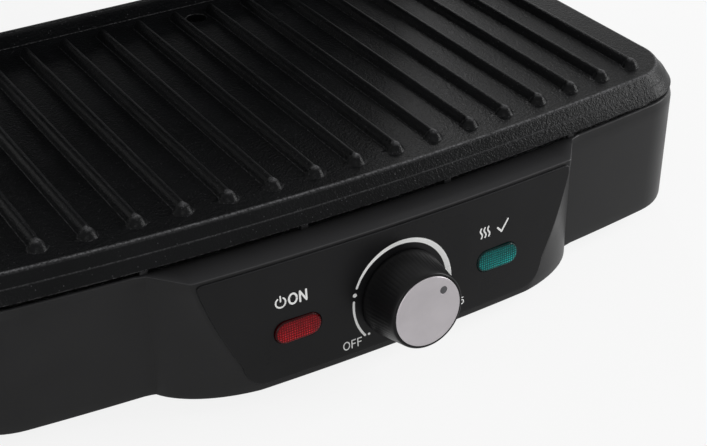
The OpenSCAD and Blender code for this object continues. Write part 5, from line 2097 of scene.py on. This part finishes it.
@dataclass
class Stage:
    """Pale floor, soft lamps and the photograph's camera."""

    floor_half: float = 6.0
    world_light: float = 0.30
    floor_show: float = 0.86
    lamps: list[tuple[str, tuple[float, float, float], float, float]] = field(
        default_factory=lambda: [
            ("key", (1.45, -0.5, 0.6), 0.8, 20.0),
            ("fill", (-0.9, -1.4, 0.5), 1.0, 7.0),
            ("back", (0.75, 1.15, 0.95), 0.14, 1.8),
        ]
    )
    focal_length: float = 76.38
    camera_place: tuple[float, float, float] = (-248.9, -475.3, 333.0)
    camera_pitch: float = 31.87
    camera_yaw: float = 31.82

    def build(self) -> None:
        """Builds the whole stage."""
        self.build_floor()
        self.build_world()
        for name, place, size, power in self.lamps:
            self.build_lamp(name, place, size, power)
        self.build_camera()

    @staticmethod
    def seen_directly(tree: Tree) -> bpy.types.NodeSocket:
        """Returns 1 for camera, glossy and transmission rays.

        Args:
            tree: Tree of the material or the world.

        Returns:
            The socket.
        """
        rays = tree.add("ShaderNodeLightPath").outputs
        seen = tree.sum("MAXIMUM", rays["Is Camera Ray"], rays["Is Glossy Ray"])
        return tree.sum("MAXIMUM", seen, rays["Is Transmission Ray"])

    def build_floor(self) -> None:
        """Builds the floor, which shows white but keeps shadows."""
        maker = MeshMaker()
        line = np.linspace(-self.floor_half, self.floor_half, 13) / MM
        x, y = np.meshgrid(line, line)
        index = np.arange(x.size).reshape(x.shape)
        maker.add(np.stack([x, y, np.zeros_like(x)], axis=-1).reshape(-1, 3), grid_faces(index))
        floor = maker.build("floor", Matrix.Identity(4))
        material = bpy.data.materials.new("pale_floor")
        material.use_nodes = True
        tree = Tree(material.node_tree)
        plain = tree.add("ShaderNodeBsdfDiffuse", {"Color": (0.82, 0.82, 0.82, 1.0)})
        white = tree.add("ShaderNodeEmission", {"Color": (1.0, 1.0, 1.0, 1.0), "Strength": 1.0})
        share = tree.sum("MULTIPLY", self.seen_directly(tree), self.floor_show)
        both = tree.add("ShaderNodeMixShader", {0: share, 1: plain.outputs[0], 2: white.outputs[0]})
        tree.add("ShaderNodeOutputMaterial", {"Surface": both.outputs[0]})
        floor.data.materials.append(material)

    def build_world(self) -> None:
        """Builds a grey light all round that shows as white."""
        world = bpy.data.worlds.new("studio")
        bpy.context.scene.world = world
        world.use_nodes = True
        tree = Tree(world.node_tree)
        seen = self.seen_directly(tree)
        strength = tree.ranged(seen, self.world_light, 1.0)
        light = tree.add("ShaderNodeBackground", {"Color": (1.0, 1.0, 1.0, 1.0), "Strength": strength})
        tree.add("ShaderNodeOutputWorld", {"Surface": light.outputs[0]})

    @staticmethod
    def build_lamp(name: str, place: tuple[float, float, float], size: float, power: float) -> None:
        """Adds a square lamp that faces the object.

        Args:
            name: Name of the lamp.
            place: Where it stands, in metres.
            size: Its width in metres.
            power: Its power in watts.
        """
        data = bpy.data.lights.new(name, "AREA")
        data.size = size
        data.energy = power
        lamp = bpy.data.objects.new(name, data)
        lamp.location = place
        lamp.rotation_euler = (-Vector(place)).to_track_quat("-Z", "Y").to_euler()
        bpy.context.scene.collection.objects.link(lamp)

    def build_camera(self) -> None:
        """Adds the camera at the photograph's viewing angle."""
        data = bpy.data.cameras.new("camera")
        data.lens = self.focal_length
        camera = bpy.data.objects.new("camera", data)
        x, y, z = self.camera_place
        camera.location = (x * MM, (y + BASE_Y) * MM, z * MM)
        camera.rotation_euler = (math.radians(90 - self.camera_pitch), 0.0, math.radians(-self.camera_yaw))
        bpy.context.scene.collection.objects.link(camera)
        bpy.context.scene.camera = camera
        bpy.context.scene.view_settings.view_transform = "Standard"


def dress_solids() -> None:
    """Gives every solid of the frame the finish of its material slot."""
    for part in frame["record"]["subparts"]:
        solid = frame["nodes"][part["node"]]
        material = WARDROBE.get(part["material_slot"])
        for place in solid.material_slots:
            place.material = material
        LOG.info("%s: %s", part["node"], material.name)


def corners(bounds: tuple[Vector, Vector]) -> list[list[float]]:
    """Returns a box's two corners as plain lists."""
    return [[float(c) for c in corner] for corner in bounds]


def main() -> None:
    """Builds the stage and the object."""
    logging.basicConfig(level=logging.INFO, format="%(name)s: %(message)s")
    Stage().build()
    dress_solids()
    BaseShell().build()
    lower_place = TO_ROW @ Matrix.Translation((0, 0, LOWER_FLOOR * MM))
    GrillPlate("lower_grill_plate", splash=True).build(lower_place, "lower_plate", Body.BASE)
    upside_down = Matrix.Translation((0, 0, UPPER_FLOOR * MM)) @ Matrix.Scale(-1, 4, (0, 0, 1))
    GrillPlate("upper_grill_plate", splash=False).build(LID_OPEN @ upside_down, "upper_plate", Body.LID)
    ControlPanel().build()
    Knob().build()
    Lid().build()


if __name__ == "__main__":
    main()
